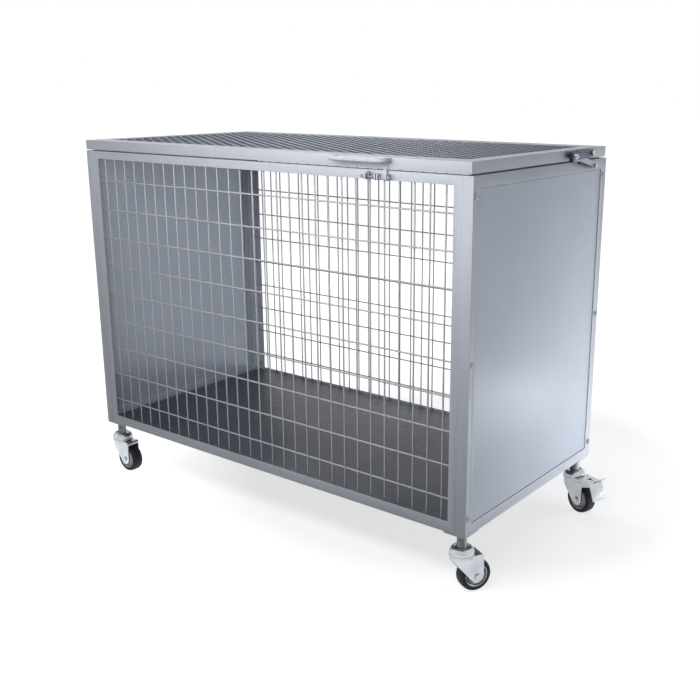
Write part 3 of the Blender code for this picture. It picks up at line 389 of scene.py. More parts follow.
tyre_rubber = moulded("tyre rubber", (0.010, 0.010, 0.012), (0.022, 0.022, 0.026), 0.52, 0.25)
rubber_shader = tyre_rubber.node_tree.nodes["Principled BSDF"]
rubber_shader.inputs["Specular IOR Level"].default_value = 0.25  # a dusty bloom mirrors little
wheel_grey = moulded("pale wheel centre", (0.62, 0.63, 0.66), (0.72, 0.73, 0.76), 0.35, 0.12)
# The recessed web between boss and rim in near black: painted shade.
wheel_web_painted_shade = moulded("dark wheel web", (0.03, 0.03, 0.035), (0.06, 0.06, 0.065), 0.5, 0.2)
print("rubber and wheel centres made")

# %% [markdown]
# ## The cage
#
# Each side is a welded frame of square tube with a sheet panel set in it. The front and rear
# are frames of steel angle. The solids have the right shape already, so each gets a copy with
# rounded edges: tube is rolled and has the widest rounding, sheet is only deburred.

# %% Tube frames, sheet panels and angle frames
TUBE_ROUNDING, PANEL_ROUNDING, SHEET_ROUNDING = 0.0016, 0.0012, 0.0010
for side in ("right", "left"):
    tube = rounded_copy(f"side_frame_{side}", f"side_tubes_{side}", TUBE_ROUNDING, 3)
    hand_over(tube, "cage", "frame_paint", frame_coat, f"side_frame_{side}")
    sheet = rounded_copy(f"side_panel_{side}", f"side_sheet_{side}", PANEL_ROUNDING, 3)
    hand_over(sheet, "cage", "panel_paint", panel_coat, f"side_panel_{side}")
for end in ("front", "rear"):
    angle = rounded_copy(f"{end}_panel_frame", f"{end}_angle_frame", SHEET_ROUNDING, 2)
    hand_over(angle, "cage", "frame_paint", frame_coat, f"{end}_panel_frame")
tray = rounded_copy("floor_tray", "floor_sheet", SHEET_ROUNDING, 2)
hand_over(tray, "cage", "floor_paint", floor_coat, "floor_tray")
print("a side:", len(tube.data.polygons), "and", len(sheet.data.polygons), "faces")

# %% [markdown]
# ## Welded wire mesh
#
# The mesh is round wire, resistance welded where an upright crosses a cross wire, so the two
# layers lie one behind the other and sink a little into each other at each weld. One wire is
# modelled with its end edges rounded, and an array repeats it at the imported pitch.

# %% Wire counts and places
WIRE_RADIUS = 0.0019
WIRE_SIDES = 12
WIRE_END_ROUNDING = 0.0005
WELD_SINK = 0.0006
UPRIGHTS = 29
UPRIGHT_PITCH = 0.0381
CROSS_WIRES = 9
CROSS_PITCH = 0.0755
END_GAP = 0.001


def wire_row(name, length, centre, direction, step, count):
    """One wire along a direction, repeated count times, the row centred on its centre."""
    pick()
    bpy.ops.mesh.primitive_cylinder_add(vertices=WIRE_SIDES, radius=WIRE_RADIUS, depth=length)
    row = bpy.context.active_object
    soften(row, WIRE_END_ROUNDING, 2)
    start = Vector(centre) - Vector(step) * (count - 1) / 2
    row.matrix_world = along(start, direction)
    settle(row, name)
    array = row.modifiers.new("row", "ARRAY")
    array.count = count
    array.use_relative_offset = False
    array.use_constant_offset = True
    array.constant_offset_displace = step
    apply_modifiers(row)
    return row


print("wires:", UPRIGHTS, "upright and", CROSS_WIRES, "across")

# %% Front and rear mesh
for end, inward in (("front", 1), ("rear", -1)):
    low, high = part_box(f"{end}_wire_mesh")
    face = low.y if inward > 0 else high.y
    middle = (low + high) / 2
    cross_y = face + inward * WIRE_RADIUS
    upright_y = cross_y + inward * (2 * WIRE_RADIUS - WELD_SINK)
    uprights = wire_row(
        "uprights", high.z - low.z - 2 * END_GAP, (middle.x, upright_y, middle.z),
        (0, 0, 1), (UPRIGHT_PITCH, 0, 0), UPRIGHTS,
    )
    cross_wires = wire_row(
        "cross wires", high.x - low.x - 2 * END_GAP, (middle.x, cross_y, middle.z),
        (1, 0, 0), (0, 0, CROSS_PITCH), CROSS_WIRES,
    )
    mesh_piece = join(f"{end}_welded_mesh", uprights, cross_wires)
    smooth(mesh_piece, 40)
    hand_over(mesh_piece, "cage", "mesh_paint", mesh_coat, f"{end}_wire_mesh")
    print(end, "mesh:", len(mesh_piece.data.polygons), "faces")

# %% [markdown]
# ## Expanded metal in the lid
#
# Expanded metal is one sheet, slit and stretched. What is left is rows of strands that zigzag
# between joints. Each strand leans like a roof tile, its front edge high, and climbs as it runs
# from its front joint to its rear one, which is why light dashes run along the sheet and why
# it stands far thicker than the metal in it. One zigzag of one strand is extruded from a tilted
# rectangle, and arrays repeat it along and across. The sheet then gets a straight edge inside
# the lid's frame, just below the top of it.

# %% One strand
NET_PITCH = 0.038
STRAND_SPACING = 0.0135
STRAND_WIDTH = 0.0060
STRAND_THICKNESS = 0.0018
STRAND_TILT = math.radians(50)
JOINT_LENGTH = 0.012
JOINT_OVERLAP = 0.0003
strand_back = STRAND_SPACING - (STRAND_WIDTH - JOINT_OVERLAP) * math.cos(STRAND_TILT)
strand_climb = (STRAND_WIDTH - JOINT_OVERLAP) * math.sin(STRAND_TILT)


def strand(name):
    """One period of a strand: climb, run along the rear joint, fall, run along the front one."""
    slope = NET_PITCH / 2 - JOINT_LENGTH
    pick()
    bpy.ops.mesh.primitive_plane_add(size=1)
    piece = bpy.context.active_object
    half_width, half_thickness = STRAND_WIDTH / 2, STRAND_THICKNESS / 2
    corners = ((-half_width, -half_thickness), (half_width, -half_thickness),
               (-half_width, half_thickness), (half_width, half_thickness))
    cosine, sine = math.cos(STRAND_TILT), math.sin(STRAND_TILT)
    for vertex, (across, up) in zip(piece.data.vertices, corners):
        back = across * cosine + up * sine - strand_back / 2
        vertex.co = (0, back, up * cosine - across * sine - strand_climb / 2)
    moves = ((slope, strand_back, strand_climb), (JOINT_LENGTH, 0, 0),
             (slope, -strand_back, -strand_climb), (JOINT_LENGTH, 0, 0))
    bpy.ops.object.mode_set(mode="EDIT")
    bpy.ops.mesh.select_all(action="SELECT")
    bpy.ops.mesh.delete(type="ONLY_FACE")
    bpy.ops.mesh.select_all(action="SELECT")
    for move in moves:
        bpy.ops.mesh.extrude_region_move(TRANSFORM_OT_translate={"value": move})
    bpy.ops.object.mode_set(mode="OBJECT")
    return settle(piece, name)


print("a strand climbs", round(strand_climb * 1000, 1), "mm")

# %% Repeat it into a sheet
STRAND_MERGE = 0.00005
NET_BELOW_TOP = 0.0005
net_low, net_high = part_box("lid_net")
net_middle = (net_low + net_high) / 2
columns = math.ceil((net_high.x - net_low.x) / NET_PITCH) + 2
pairs = math.ceil((net_high.y - net_low.y) / (2 * STRAND_SPACING)) + 1
first = strand("first strand")
second = copy_of(first, "second strand", Matrix.Translation((NET_PITCH / 2, STRAND_SPACING, 0)))
net = join("expanded_metal", first, second)
for count, step in ((columns, (NET_PITCH, 0, 0)), (pairs, (0, 2 * STRAND_SPACING, 0))):
    array = net.modifiers.new("repeat", "ARRAY")
    array.count = count
    array.use_relative_offset = False
    array.use_constant_offset = True
    array.constant_offset_displace = step
    array.use_merge_vertices = True
    array.merge_threshold = STRAND_MERGE
apply_modifiers(net)
strand_height = STRAND_WIDTH * math.sin(STRAND_TILT) + STRAND_THICKNESS * math.cos(STRAND_TILT)
net_depth = strand_height + strand_climb
net_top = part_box("lid_frame")[1].z - NET_BELOW_TOP
net.location = (
    net_middle.x - (columns + 0.5) * NET_PITCH / 2,
    net_middle.y - (2 * pairs - 1) * STRAND_SPACING / 2,
    net_top - net_depth / 2,
)
settle(net, "expanded_metal")
print("net:", columns, "by", 2 * pairs, "strands,", len(net.data.polygons), "faces")

# %% Trim it to the lid
TRIM = 0.0015
pick(net)
bpy.ops.object.mode_set(mode="EDIT")
for point, normal in (
    ((net_low.x + TRIM, 0, 0), (-1, 0, 0)),
    ((net_high.x - TRIM, 0, 0), (1, 0, 0)),
    ((0, net_low.y + TRIM, 0), (0, -1, 0)),
    ((0, net_high.y - TRIM, 0), (0, 1, 0)),
):
    bpy.ops.mesh.select_all(action="SELECT")
    bpy.ops.mesh.bisect(plane_co=point, plane_no=normal, use_fill=True, clear_outer=True)
bpy.ops.mesh.select_all(action="SELECT")
bpy.ops.mesh.normals_make_consistent(inside=False)
bpy.ops.object.mode_set(mode="OBJECT")
smooth(net, 20)
hand_over(net, "lid", "mesh_paint", net_coat_painted_shade, "lid_net")
print("trimmed net:", len(net.data.polygons), "faces")

# %% [markdown]
# ## Lid frame and handle
#
# The lid's frame is one folded sheet, so its outer folds are round and its inner edges are
# not. The handle is a bent round bar: a ring of the bar's section is pulled straight out,
# spun round each bend and pulled along the grip, and its ends sit in small welded collars.

# %% Lid frame
FOLD_ROUNDING = 0.0014
lid_shell = rounded_copy("lid_frame", "lid_folded_frame", FOLD_ROUNDING, 3)
hand_over(lid_shell, "lid", "frame_paint", frame_coat, "lid_frame")
print("lid frame:", len(lid_shell.data.polygons), "faces")

# %% Handle
BEND_RADIUS = 0.012
BEND_STEPS = 10
BAR_SIDES = 20
handle_low, handle_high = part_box("lid_handle")
bar_radius = (handle_high.z - handle_low.z) / 2
bar_z = (handle_high.z + handle_low.z) / 2
left_x, right_x = handle_low.x + bar_radius, handle_high.x - bar_radius
out_y, wall_y = handle_low.y + bar_radius, handle_high.y


def bent_bar(name):
    """The bar's section, pulled out from the lid, round a bend, along, round a bend and back."""
    pick()
    bpy.ops.mesh.primitive_circle_add(
        vertices=BAR_SIDES, radius=bar_radius,
        location=(left_x, wall_y, bar_z), rotation=(math.pi / 2, 0, 0),
    )
    bar = settle(bpy.context.active_object, name)
    bpy.ops.object.mode_set(mode="EDIT")
    bpy.ops.mesh.select_all(action="SELECT")
    straight = {"value": (0, out_y + BEND_RADIUS - wall_y, 0)}
    bpy.ops.mesh.extrude_region_move(TRANSFORM_OT_translate=straight)
    first_bend = (left_x + BEND_RADIUS, out_y + BEND_RADIUS, bar_z)
    bpy.ops.mesh.spin(steps=BEND_STEPS, angle=-math.pi / 2, center=first_bend, axis=(0, 0, 1))
    grip = {"value": (right_x - left_x - 2 * BEND_RADIUS, 0, 0)}
    bpy.ops.mesh.extrude_region_move(TRANSFORM_OT_translate=grip)
    second_bend = (right_x - BEND_RADIUS, out_y + BEND_RADIUS, bar_z)
    bpy.ops.mesh.spin(steps=BEND_STEPS, angle=-math.pi / 2, center=second_bend, axis=(0, 0, 1))
    back = {"value": (0, wall_y - out_y - BEND_RADIUS, 0)}
    bpy.ops.mesh.extrude_region_move(TRANSFORM_OT_translate=back)
    bpy.ops.mesh.select_all(action="SELECT")
    bpy.ops.mesh.fill_holes(sides=0)
    bpy.ops.mesh.select_all(action="SELECT")
    bpy.ops.mesh.normals_make_consistent(inside=False)
    bpy.ops.object.mode_set(mode="OBJECT")
    return smooth(bar)


handle = bent_bar("bow_handle")
collar_profile = [
    (0, 0), (bar_radius * 1.19, 0), (bar_radius * 1.18, 0.0010), (bar_radius * 1.10, 0.0018),
    (bar_radius * 1.02, 0.0032), (0, 0.0032),
]
collars = [
    lathe("collar", collar_profile, PIN_STEPS, False, along((x, wall_y, bar_z), (0, -1, 0)))
    for x in (left_x, right_x)
]
handle = join("bow_handle", handle, *collars)
hand_over(handle, "lid", "frame_paint", frame_coat, "lid_handle")
print("handle:", [round(v, 4) for v in handle.dimensions])

# %% [markdown]
# ## Bolts
#
# Round-headed bolts hold the sides to the front and rear. One bolt is spun from its profile,
# with a socket sunk in its head and a flange under it, and then copied to the twelve places
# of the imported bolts. The nut inside is a six-sided block with its corners turned off.

# %% One bolt, twelve copies
PATTERN_NODE = "corner_bolt_front_right_top"
HEAD_RADIUS = 0.0065
HEAD_HEIGHT = 0.0040
SHANK_RADIUS = 0.0029
SHANK_START = 0.0004
NUT_WIDTH = 0.0094
NUT_THICKNESS = 0.0036
NUT_INSET = 0.0004
LARGEST_CHAMFER = 0.0006


def hexagon(name, across_corners, thickness, place):
    """A nut or bolt head: a six-sided block whose corners are turned off."""
    pick()
    bpy.ops.mesh.primitive_cylinder_add(vertices=6, radius=across_corners / 2, depth=thickness)
    piece = bpy.context.active_object
    piece.location.z = thickness / 2
    settle(piece, name)
    soften(piece, min(LARGEST_CHAMFER, thickness / 5), 2)
    piece.matrix_world = place
    return settle(piece, name)


bolt_low, bolt_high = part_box(PATTERN_NODE)
bolt_y, bolt_z = (bolt_low.y + bolt_high.y) / 2, (bolt_low.z + bolt_high.z) / 2
seat_x = bolt_high.x - HEAD_HEIGHT
seat_place = along((seat_x, bolt_y, bolt_z), (1, 0, 0))
head_profile = [
    (0, 0.0022), (0.0017, 0.0022), (0.0020, 0.0038), (0.0032, 0.0036), (0.0046, 0.0029),
    (0.0058, 0.0017), (0.0062, 0.0009), (HEAD_RADIUS, 0.0007), (HEAD_RADIUS, 0), (0, 0),
]
head = lathe("head", head_profile, BOLT_STEPS, False, seat_place)
shank_end = bolt_low.x - seat_x
shank_profile = [
    (0, SHANK_START), (SHANK_RADIUS, SHANK_START), (SHANK_RADIUS, shank_end), (0, shank_end),
]
shank = lathe("shank", shank_profile, RIVET_STEPS, False, seat_place)
nut_place = along((bolt_low.x + NUT_INSET, bolt_y, bolt_z), (1, 0, 0))
nut = hexagon("nut", NUT_WIDTH, NUT_THICKNESS, nut_place)
pattern_bolt = join("pattern bolt", head, shank, nut)
bolt_nodes = sorted(name for name in nodes if name.startswith("corner_bolt_"))
to_axis = Matrix.Translation((0, -bolt_y, -bolt_z))
for node in bolt_nodes:
    low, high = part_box(node)
    centre = (low + high) / 2
    turn = Matrix.Rotation(math.pi if centre.x < 0 else 0, 4, "Z")
    goal = Matrix.Translation((0, centre.y, centre.z)) @ turn @ to_axis
    bolt = copy_of(pattern_bolt, node.replace("corner_bolt", "button_bolt"), goal)
    hand_over(bolt, "cage", "zinc_plate", dull_zinc, node)
discard(pattern_bolt)
print(len(bolt_nodes), "bolts")

# %% [markdown]
# ## Hinges, latch and stays
#
# These are small pressed and turned pieces. The leaves, the latch base, the keeper and the
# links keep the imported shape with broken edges, and gain the rivets and nuts that hold them.

# %% Hinges
LEAF_RIVET_RADIUS = 0.0032
LEAF_RIVET_SHARES = (0.16, 0.5, 0.84)  # places along the leaf
RIVET_SINK = 0.0019
PIN_CHAMFER = 0.0008


def rivet_head(name, place, radius):
    profile = [
        (0, radius * 0.42), (radius * 0.45, radius * 0.38), (radius * 0.8, radius * 0.22),
        (radius, 0), (0, 0),
    ]
    return lathe(name, profile, RIVET_STEPS, False, place)


for side in ("right", "left"):
    for leaf, body, lift in (("body_leaf", "cage", 0.35), ("lid_leaf", "lid", 0.72)):
        node = f"hinge_{side}_{leaf}"
        low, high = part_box(node)
        piece = rounded_copy(node, f"{side}_{leaf}", 0.0004, 2)
        heads = []
        for share in LEAF_RIVET_SHARES:
            x = low.x + (high.x - low.x) * share
            z = low.z + (high.z - low.z) * lift
            place = along((x, low.y + RIVET_SINK, z), (0, 1, 0))
            heads.append(rivet_head("rivet", place, LEAF_RIVET_RADIUS))
        piece = join(f"{side}_{leaf}", piece, *heads)
        hand_over(piece, body, "frame_paint", frame_coat, node)
    low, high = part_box(f"hinge_{side}_pin")
    length, radius = high.x - low.x, (high.z - low.z) / 2
    pin_profile = [
        (0, 0), (radius * 0.7, 0), (radius, PIN_CHAMFER),
        (radius, length - PIN_CHAMFER), (radius * 0.7, length), (0, length),
    ]
    pin_place = along((low.x, (low.y + high.y) / 2, (low.z + high.z) / 2), (1, 0, 0))
    pin = lathe(f"{side}_hinge_pin", pin_profile, PIN_STEPS, False, pin_place)
    hand_over(pin, "cage", "zinc_plate", zinc, f"hinge_{side}_pin")
print("hinges done")

# %% Latch base
SCREW_RADIUS = 0.0028
SCREW_INSET = 0.0075
base = rounded_copy("latch_base", "latch_bracket", 0.0005, 2)
base_low, base_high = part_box("latch_base")
base_middle = (base_low + base_high) / 2
screw_y = base_high.y - RIVET_SINK
screws = [
    rivet_head("screw", along((x, screw_y, base_middle.z), (0, -1, 0)), SCREW_RADIUS)
    for x in (base_low.x + SCREW_INSET, base_high.x - SCREW_INSET)
]
bracket = join("latch_bracket", base, *screws)
hand_over(bracket, "cage", "frame_paint", frame_coat, "latch_base")
print("latch base:", len(bracket.data.polygons), "faces")

# %% Sliding bolt with its knob
ROD_RADIUS = 0.003
KNOB_OFFSET = -0.0065
low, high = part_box("latch_bolt")
rod_y, rod_z = (low.y + high.y) / 2, low.z + ROD_RADIUS
rod_length = high.x - low.x
rod_profile = [
    (0, 0), (ROD_RADIUS * 0.75, 0), (ROD_RADIUS, 0.0008),
    (ROD_RADIUS, rod_length - 0.0012), (ROD_RADIUS * 0.6, rod_length), (0, rod_length),
]
rod = lathe("rod", rod_profile, PIN_STEPS, False, along((low.x, rod_y, rod_z), (1, 0, 0)))
knob_top = high.z - rod_z
knob_profile = [
    (0, 0), (0.0024, 0), (0.0024, knob_top * 0.45), (0.0036, knob_top * 0.55),
    (0.0040, knob_top * 0.7), (0.0039, knob_top * 0.9), (0.0030, knob_top), (0, knob_top),
]
knob_place = along((base_middle.x + KNOB_OFFSET, rod_y, rod_z), (0, 0, 1))
knob = lathe("knob", knob_profile, PIN_STEPS, False, knob_place)
hand_over(join("sliding_bolt", rod, knob), "latch_bolt", "zinc_plate", dull_zinc, "latch_bolt")
print("sliding bolt:", round(rod_length * 1000, 1), "mm long")

# %% Keeper on the lid
STRAP_FACE = 0.0022
CATCH_RIVET_RADIUS = 0.0026
CATCH_RIVET_DROPS = (0.0035, 0.0095)
keeper = rounded_copy("latch_keeper", "latch_catch", 0.0005, 2)
low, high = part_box("latch_keeper")
catch_x, catch_y = (low.x + high.x) / 2, high.y - STRAP_FACE
catch_rivets = [
    rivet_head("rivet", along((catch_x, catch_y, high.z - drop), (0, -1, 0)), CATCH_RIVET_RADIUS)
    for drop in CATCH_RIVET_DROPS
]
catch = join("latch_catch", keeper, *catch_rivets)
hand_over(catch, "lid", "frame_paint", frame_coat, "latch_keeper")
print("keeper:", len(catch.data.polygons), "faces")

# %% Stays
STUD_REACH = 0.0105
ELBOW_BEHIND_TAB = 0.01725
ELBOW_ABOVE_FOOT = 0.012
ELBOW_NUT_WIDTH = 0.0132
ELBOW_NUT_THICKNESS = 0.0080
LIP_REACH = 0.007
LIP_INSET = 0.029
LIP_NEAR, LIP_FAR = 0.0062, 0.0116  # its edges, below the line between the pins
lip_turn = Matrix(((0, 0, 1, 0), (1, 0, 0, 0), (0, 1, 0, 0), (0, 0, 0, 1)))  # XY to YZ
stud_profile = [
    (0, 0), (0.0036, 0), (0.0036, STUD_REACH - 0.0004),
    (0.0028, STUD_REACH + 0.0003), (0, STUD_REACH + 0.0003),
]


def folded_lip(side, body_pin, elbow_pin, outer_face):
    """The folded edge below the lower link, between its two pins, darkened as painted shade."""
    along_link = (elbow_pin - body_pin).normalized()
    below = Vector((along_link.y, -along_link.x))
    if below.y > 0:
        below = -below
    start, end = body_pin + along_link * LIP_INSET, elbow_pin - along_link * LIP_INSET
    outline = [start + below * LIP_NEAR, start + below * LIP_FAR,
               end + below * LIP_FAR, end + below * LIP_NEAR]
    low_x = outer_face - LIP_REACH if outer_face > 0 else outer_face
    place = Matrix.Translation((low_x, 0, 0)) @ lip_turn
    return soften(plate(f"{side}_lower_lip", outline, LIP_REACH, place), 0.0005, 2)


for side, outward in (("right", 1), ("left", -1)):
    stay = f"stay_{side}"
    lower = rounded_copy(f"{stay}_lower_link", f"{side}_lower_link", 0.0004, 2)
    hand_over(lower, f"{stay}_lower", "zinc_plate", dull_zinc, f"{stay}_lower_link")
    link_low, link_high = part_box(f"{stay}_lower_link")
    bolt_low, bolt_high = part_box(f"{stay}_body_bolt")
    body_pin = Vector(((bolt_low.y + bolt_high.y) / 2, (bolt_low.z + bolt_high.z) / 2))
    upper = rounded_copy(f"{stay}_upper_link", f"{side}_upper_link", 0.0004, 2)
    # The upper link takes the zinc darkened as painted shade.
    hand_over(upper, f"{stay}_upper", "zinc_plate", zinc_painted_shade, f"{stay}_upper_link")
    low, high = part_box(f"{stay}_upper_link")
    tip = high.x if outward > 0 else low.x
    elbow = (tip - outward * STUD_REACH, low.y + ELBOW_BEHIND_TAB, low.z + ELBOW_ABOVE_FOOT)
    outer_face = link_high.x if outward > 0 else link_low.x
    lip = folded_lip(side, body_pin, Vector(elbow[1:]), outer_face)
    hand_over(lip, f"{stay}_lower", "zinc_plate", zinc_painted_shade)
    elbow_place = along(elbow, (outward, 0, 0))
    stud = lathe("stud", stud_profile, PIN_STEPS, False, elbow_place)
    nut = hexagon("nut", ELBOW_NUT_WIDTH, ELBOW_NUT_THICKNESS, elbow_place)
    hand_over(join(f"{side}_elbow_nut", nut, stud), f"{stay}_upper", "zinc_plate", zinc)
    for kind, body in (("body_bolt", "cage"), ("lid_bolt", "lid")):
        node = f"{stay}_{kind}"
        bolt = rounded_copy(node, f"{side}_{kind}", 0.0003, 2)
        hand_over(bolt, body, "zinc_plate", zinc, node)
print("stays done")

# %% [markdown]
# ## Castors
#
# All four castors are the same, turned to different angles. One of each piece is modelled
# round an upright axis at the origin, with the wheel trailing along X, and copied to each
# castor's stem at the angle that its packed axle has.

# %% Sizes of a castor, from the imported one
WHEEL_RADIUS = 0.0375
TRAIL = 0.030
FORK_PLATE = 0.0025
FORK_HALF = 0.0193
FORK_FRONT = -0.024
FORK_TOP = 0.088
FORK_CORNER = 0.012
FOOT_RADIUS = 0.0155
DOME_TOP = 0.1075
STEM_TOP = 0.1402
BORE_RADIUS = 0.0043
axle_place = along((TRAIL, 0, WHEEL_RADIUS), (0, 1, 0))


def mirrored_profile(half):
    """Close a half profile, given from bore to bore at one end, by its mirror image."""
    return half + [(radius, -height) for radius, height in reversed(half)]


print("a wheel of", round(2 * WHEEL_RADIUS * 1000), "mm, trailing by", round(TRAIL * 1000), "mm")

# %% Tyre and wheel centre


def wheel_ring(name, half):
    return lathe(name, mirrored_profile(half), WHEEL_STEPS, True, axle_place)


tyre = wheel_ring("tyre", [
    (0.0272, 0.0142), (0.0278, 0.0149), (0.0305, 0.0150), (0.0322, 0.0143), (0.0340, 0.0144),
    (0.0355, 0.0132), (0.0366, 0.0108), (0.0373, 0.0074), (WHEEL_RADIUS, 0.0032),
])
rim = wheel_ring("rim", [
    (0.0241, 0.0060), (0.0240, 0.0142), (0.0244, 0.0149),
    (0.0262, 0.0149), (0.0268, 0.0143), (0.0269, 0.0120),
])
boss = wheel_ring("boss", [
    (BORE_RADIUS, 0.0164), (0.0090, 0.0164), (0.0097, 0.0158), (0.0100, 0.0142),
    (0.0190, 0.0138), (0.0205, 0.0132), (0.0210, 0.0118), (0.0210, 0.0060),
])
# The web is the recessed ring between boss and rim; its near-black finish is painted shade.
web = wheel_ring("web", [(0.0205, 0.0052), (0.0246, 0.0052)])
wheel_centre = join("wheel centre", rim, boss)
print("tyre:", len(tyre.data.polygons), "faces; centre:", len(wheel_centre.data.polygons))

# %% Fork: pressed from one sheet, wrapped round the front, open at the rear
INNER_FRONT = -0.0215
INNER_CORNER = 0.0095
FOLD_RADIUS = 0.0022
foot_turns = [math.radians(a) for a in range(220, 361, 10)]
side_outline = [(FORK_FRONT, FORK_TOP), (FORK_FRONT, 0.077)]
side_outline += [
    (TRAIL + FOOT_RADIUS * math.cos(t), WHEEL_RADIUS + FOOT_RADIUS * math.sin(t))
    for t in foot_turns
]
side_outline += [(0.0455, 0.0810), (0.0425, FORK_TOP)]
stand_up = Matrix.Translation((0, FORK_HALF, 0)) @ Matrix.Rotation(math.pi / 2, 4, "X")
fork_body = plate("fork body", side_outline, 2 * FORK_HALF, stand_up)


def plan_outline(front, rear, half, corner):
    """The fork from above: round at the front, square at the rear."""
    arc = [(front + corner - corner * math.sin(t), half - corner + corner * math.cos(t))
           for t in (math.radians(a) for a in range(0, 91, 15))]
    return [(rear, half)] + arc + [(x, -y) for x, y in reversed(arc)] + [(rear, -half)]


outer_outline = plan_outline(FORK_FRONT, 0.060, FORK_HALF, FORK_CORNER)
outer_plan = plate("outer plan", outer_outline, 0.110, Matrix.Translation((0, 0, 0.010)))
carve(fork_body, "INTERSECT", outer_plan)
soften(fork_body, FOLD_RADIUS, 3, 50)
inner_outline = plan_outline(INNER_FRONT, 0.080, FORK_HALF - FORK_PLATE, INNER_CORNER)
inner_plan = plate("inner plan", inner_outline, 0.089, Matrix.Translation((0, 0, -0.010)))
hole_profile = [(0, -0.030), (BORE_RADIUS, -0.030), (BORE_RADIUS, 0.030), (0, 0.030)]
axle_hole = lathe("axle hole", hole_profile, BOLT_STEPS, False, axle_place)
carve(fork_body, "DIFFERENCE", inner_plan, axle_hole)
soften(fork_body, 0.0003, 1, 60)
print("fork body:", len(fork_body.data.polygons), "faces")

# %% Swivel head: pressed cups round a ball race
cup_profile = [
    (0, 0.0836), (0.0252, 0.0836), (0.0270, 0.0847), (0.0280, 0.0872), (0.0280, 0.0902),
    (0.0277, 0.0911), (0.0266, 0.0915), (0.0266, 0.0922), (0.0278, 0.0927), (0.0280, 0.0940),
    (0.0279, 0.0966), (0.0270, 0.1000), (0.0252, 0.1032), (0.0232, 0.1057), (0.0214, 0.1070),
    (0.0199, 0.1074), (0.0184, 0.1070), (0.0175, 0.1056), (0.0170, 0.1038), (0.0124, 0.1034),
    (0.0119, 0.1042), (0.0116, DOME_TOP - 0.0003), (0.0060, DOME_TOP - 0.0003),
    (0.0060, STEM_TOP - 0.0008), (0.0052, STEM_TOP), (0, STEM_TOP),
]
head_cups = lathe("swivel head", cup_profile, WHEEL_STEPS, False)
fork = join("fork", fork_body, head_cups)
print("fork with its head:", len(fork.data.polygons), "faces")

# %% Axle bolt
AXLE_RADIUS = 0.0040
AXLE_NUT_WIDTH = 0.0136
WASHER_THICKNESS = 0.0006
seat = FORK_HALF + WASHER_THICKNESS
axle_end = seat + 0.0063
axle_profile = [
    (0, -seat - 0.003), (AXLE_RADIUS, -seat - 0.003), (AXLE_RADIUS, seat + 0.0056),
    (AXLE_RADIUS * 0.8, axle_end), (0, axle_end),
]
axle_bar = lathe("axle bar", axle_profile, BOLT_STEPS, False, axle_place)
head_place = along((TRAIL, -seat, WHEEL_RADIUS), (0, -1, 0))
bolt_head = hexagon("bolt head", AXLE_NUT_WIDTH, 0.0040, head_place)
lock_place = along((TRAIL, seat, WHEEL_RADIUS), (0, 1, 0))
lock_nut = hexagon("lock nut", AXLE_NUT_WIDTH, 0.0042, lock_place)
washer_profile = [
    (0.0041, 0), (0.0070, 0), (0.0070, WASHER_THICKNESS), (0.0041, WASHER_THICKNESS),
]
washers = [
    lathe("washer", washer_profile, BOLT_STEPS, True,
          along((TRAIL, end * (seat - 0.0004), WHEEL_RADIUS), (0, end, 0)))
    for end in (-1, 1)
]
axle = join("axle", axle_bar, bolt_head, lock_nut, *washers)
print("axle bolt:", len(axle.data.polygons), "faces")

# %% Copy them to the four castors
castor_goals = {}
for joint in frame["joints"]:
    if joint["name"].endswith("_roll"):
        castor = joint["name"][:-len("_roll")]
        stem = next(j for j in frame["joints"] if j["name"] == castor + "_swivel")["pos_m"]
        wheel = joint["pos_m"]
        angle = math.atan2(wheel[1] - stem[1], wheel[0] - stem[0])
        turn = Matrix.Rotation(angle, 4, "Z")
        castor_goals[castor] = Matrix.Translation((stem[0], stem[1], 0)) @ turn
        print(castor, "at", round(math.degrees(angle), 1), "degrees")
# each pattern: the ending of its name, its body, its slot and finish, and the node it stands for
castor_patterns = (
    (tyre, "rubber", "wheel", "tyre_rubber", tyre_rubber, ("tyre",)),
    (wheel_centre, "wheel_centre", "wheel", "hub_metal", wheel_grey, ("hub",)),
    (web, "wheel_web", "wheel", "hub_metal", wheel_web_painted_shade, ()),
    (fork, "fork", "swivel", "zinc_plate", zinc, ("fork",)),
    (axle, "axle_bolt", "swivel", "zinc_plate", zinc, ("axle",)),
)
for castor, goal in castor_goals.items():
    label = castor.replace("castor_", "")
    for pattern, ending, body, slot, finish, replaced in castor_patterns:
        copy = copy_of(pattern, f"{label}_{ending}", goal)
        stands_for = [f"{castor}_{node}" for node in replaced]
        hand_over(copy, f"{castor}_{body}", slot, finish, *stands_for)
discard(tyre, wheel_centre, web, fork, axle)
print(len(castor_goals), "castors placed")

# %% Brake pedals
PEDAL_SIDE = FORK_HALF + 0.0022
PEDAL_RIVET_RADIUS = 0.0040
PEDAL_RIVET_X, PEDAL_RIVET_Z = 0.0380, 0.0850
for castor in ("castor_rear_right", "castor_rear_left"):
    goal = castor_goals[castor]
    label = castor.replace("castor_", "")
    pedal = rounded_copy(castor + "_brake_pedal", f"{label}_pedal", 0.0006, 2)
    rivets = []
    for end in (-1, 1):
        place = along((PEDAL_RIVET_X, end * PEDAL_SIDE, PEDAL_RIVET_Z), (0, end, 0))
        rivets.append(rivet_head("rivet", goal @ place, PEDAL_RIVET_RADIUS))
    pedal = join(pedal.name, pedal, *rivets)
    hand_over(pedal, castor + "_pedal", "zinc_plate", zinc, castor + "_brake_pedal")
print("brake pedals done")
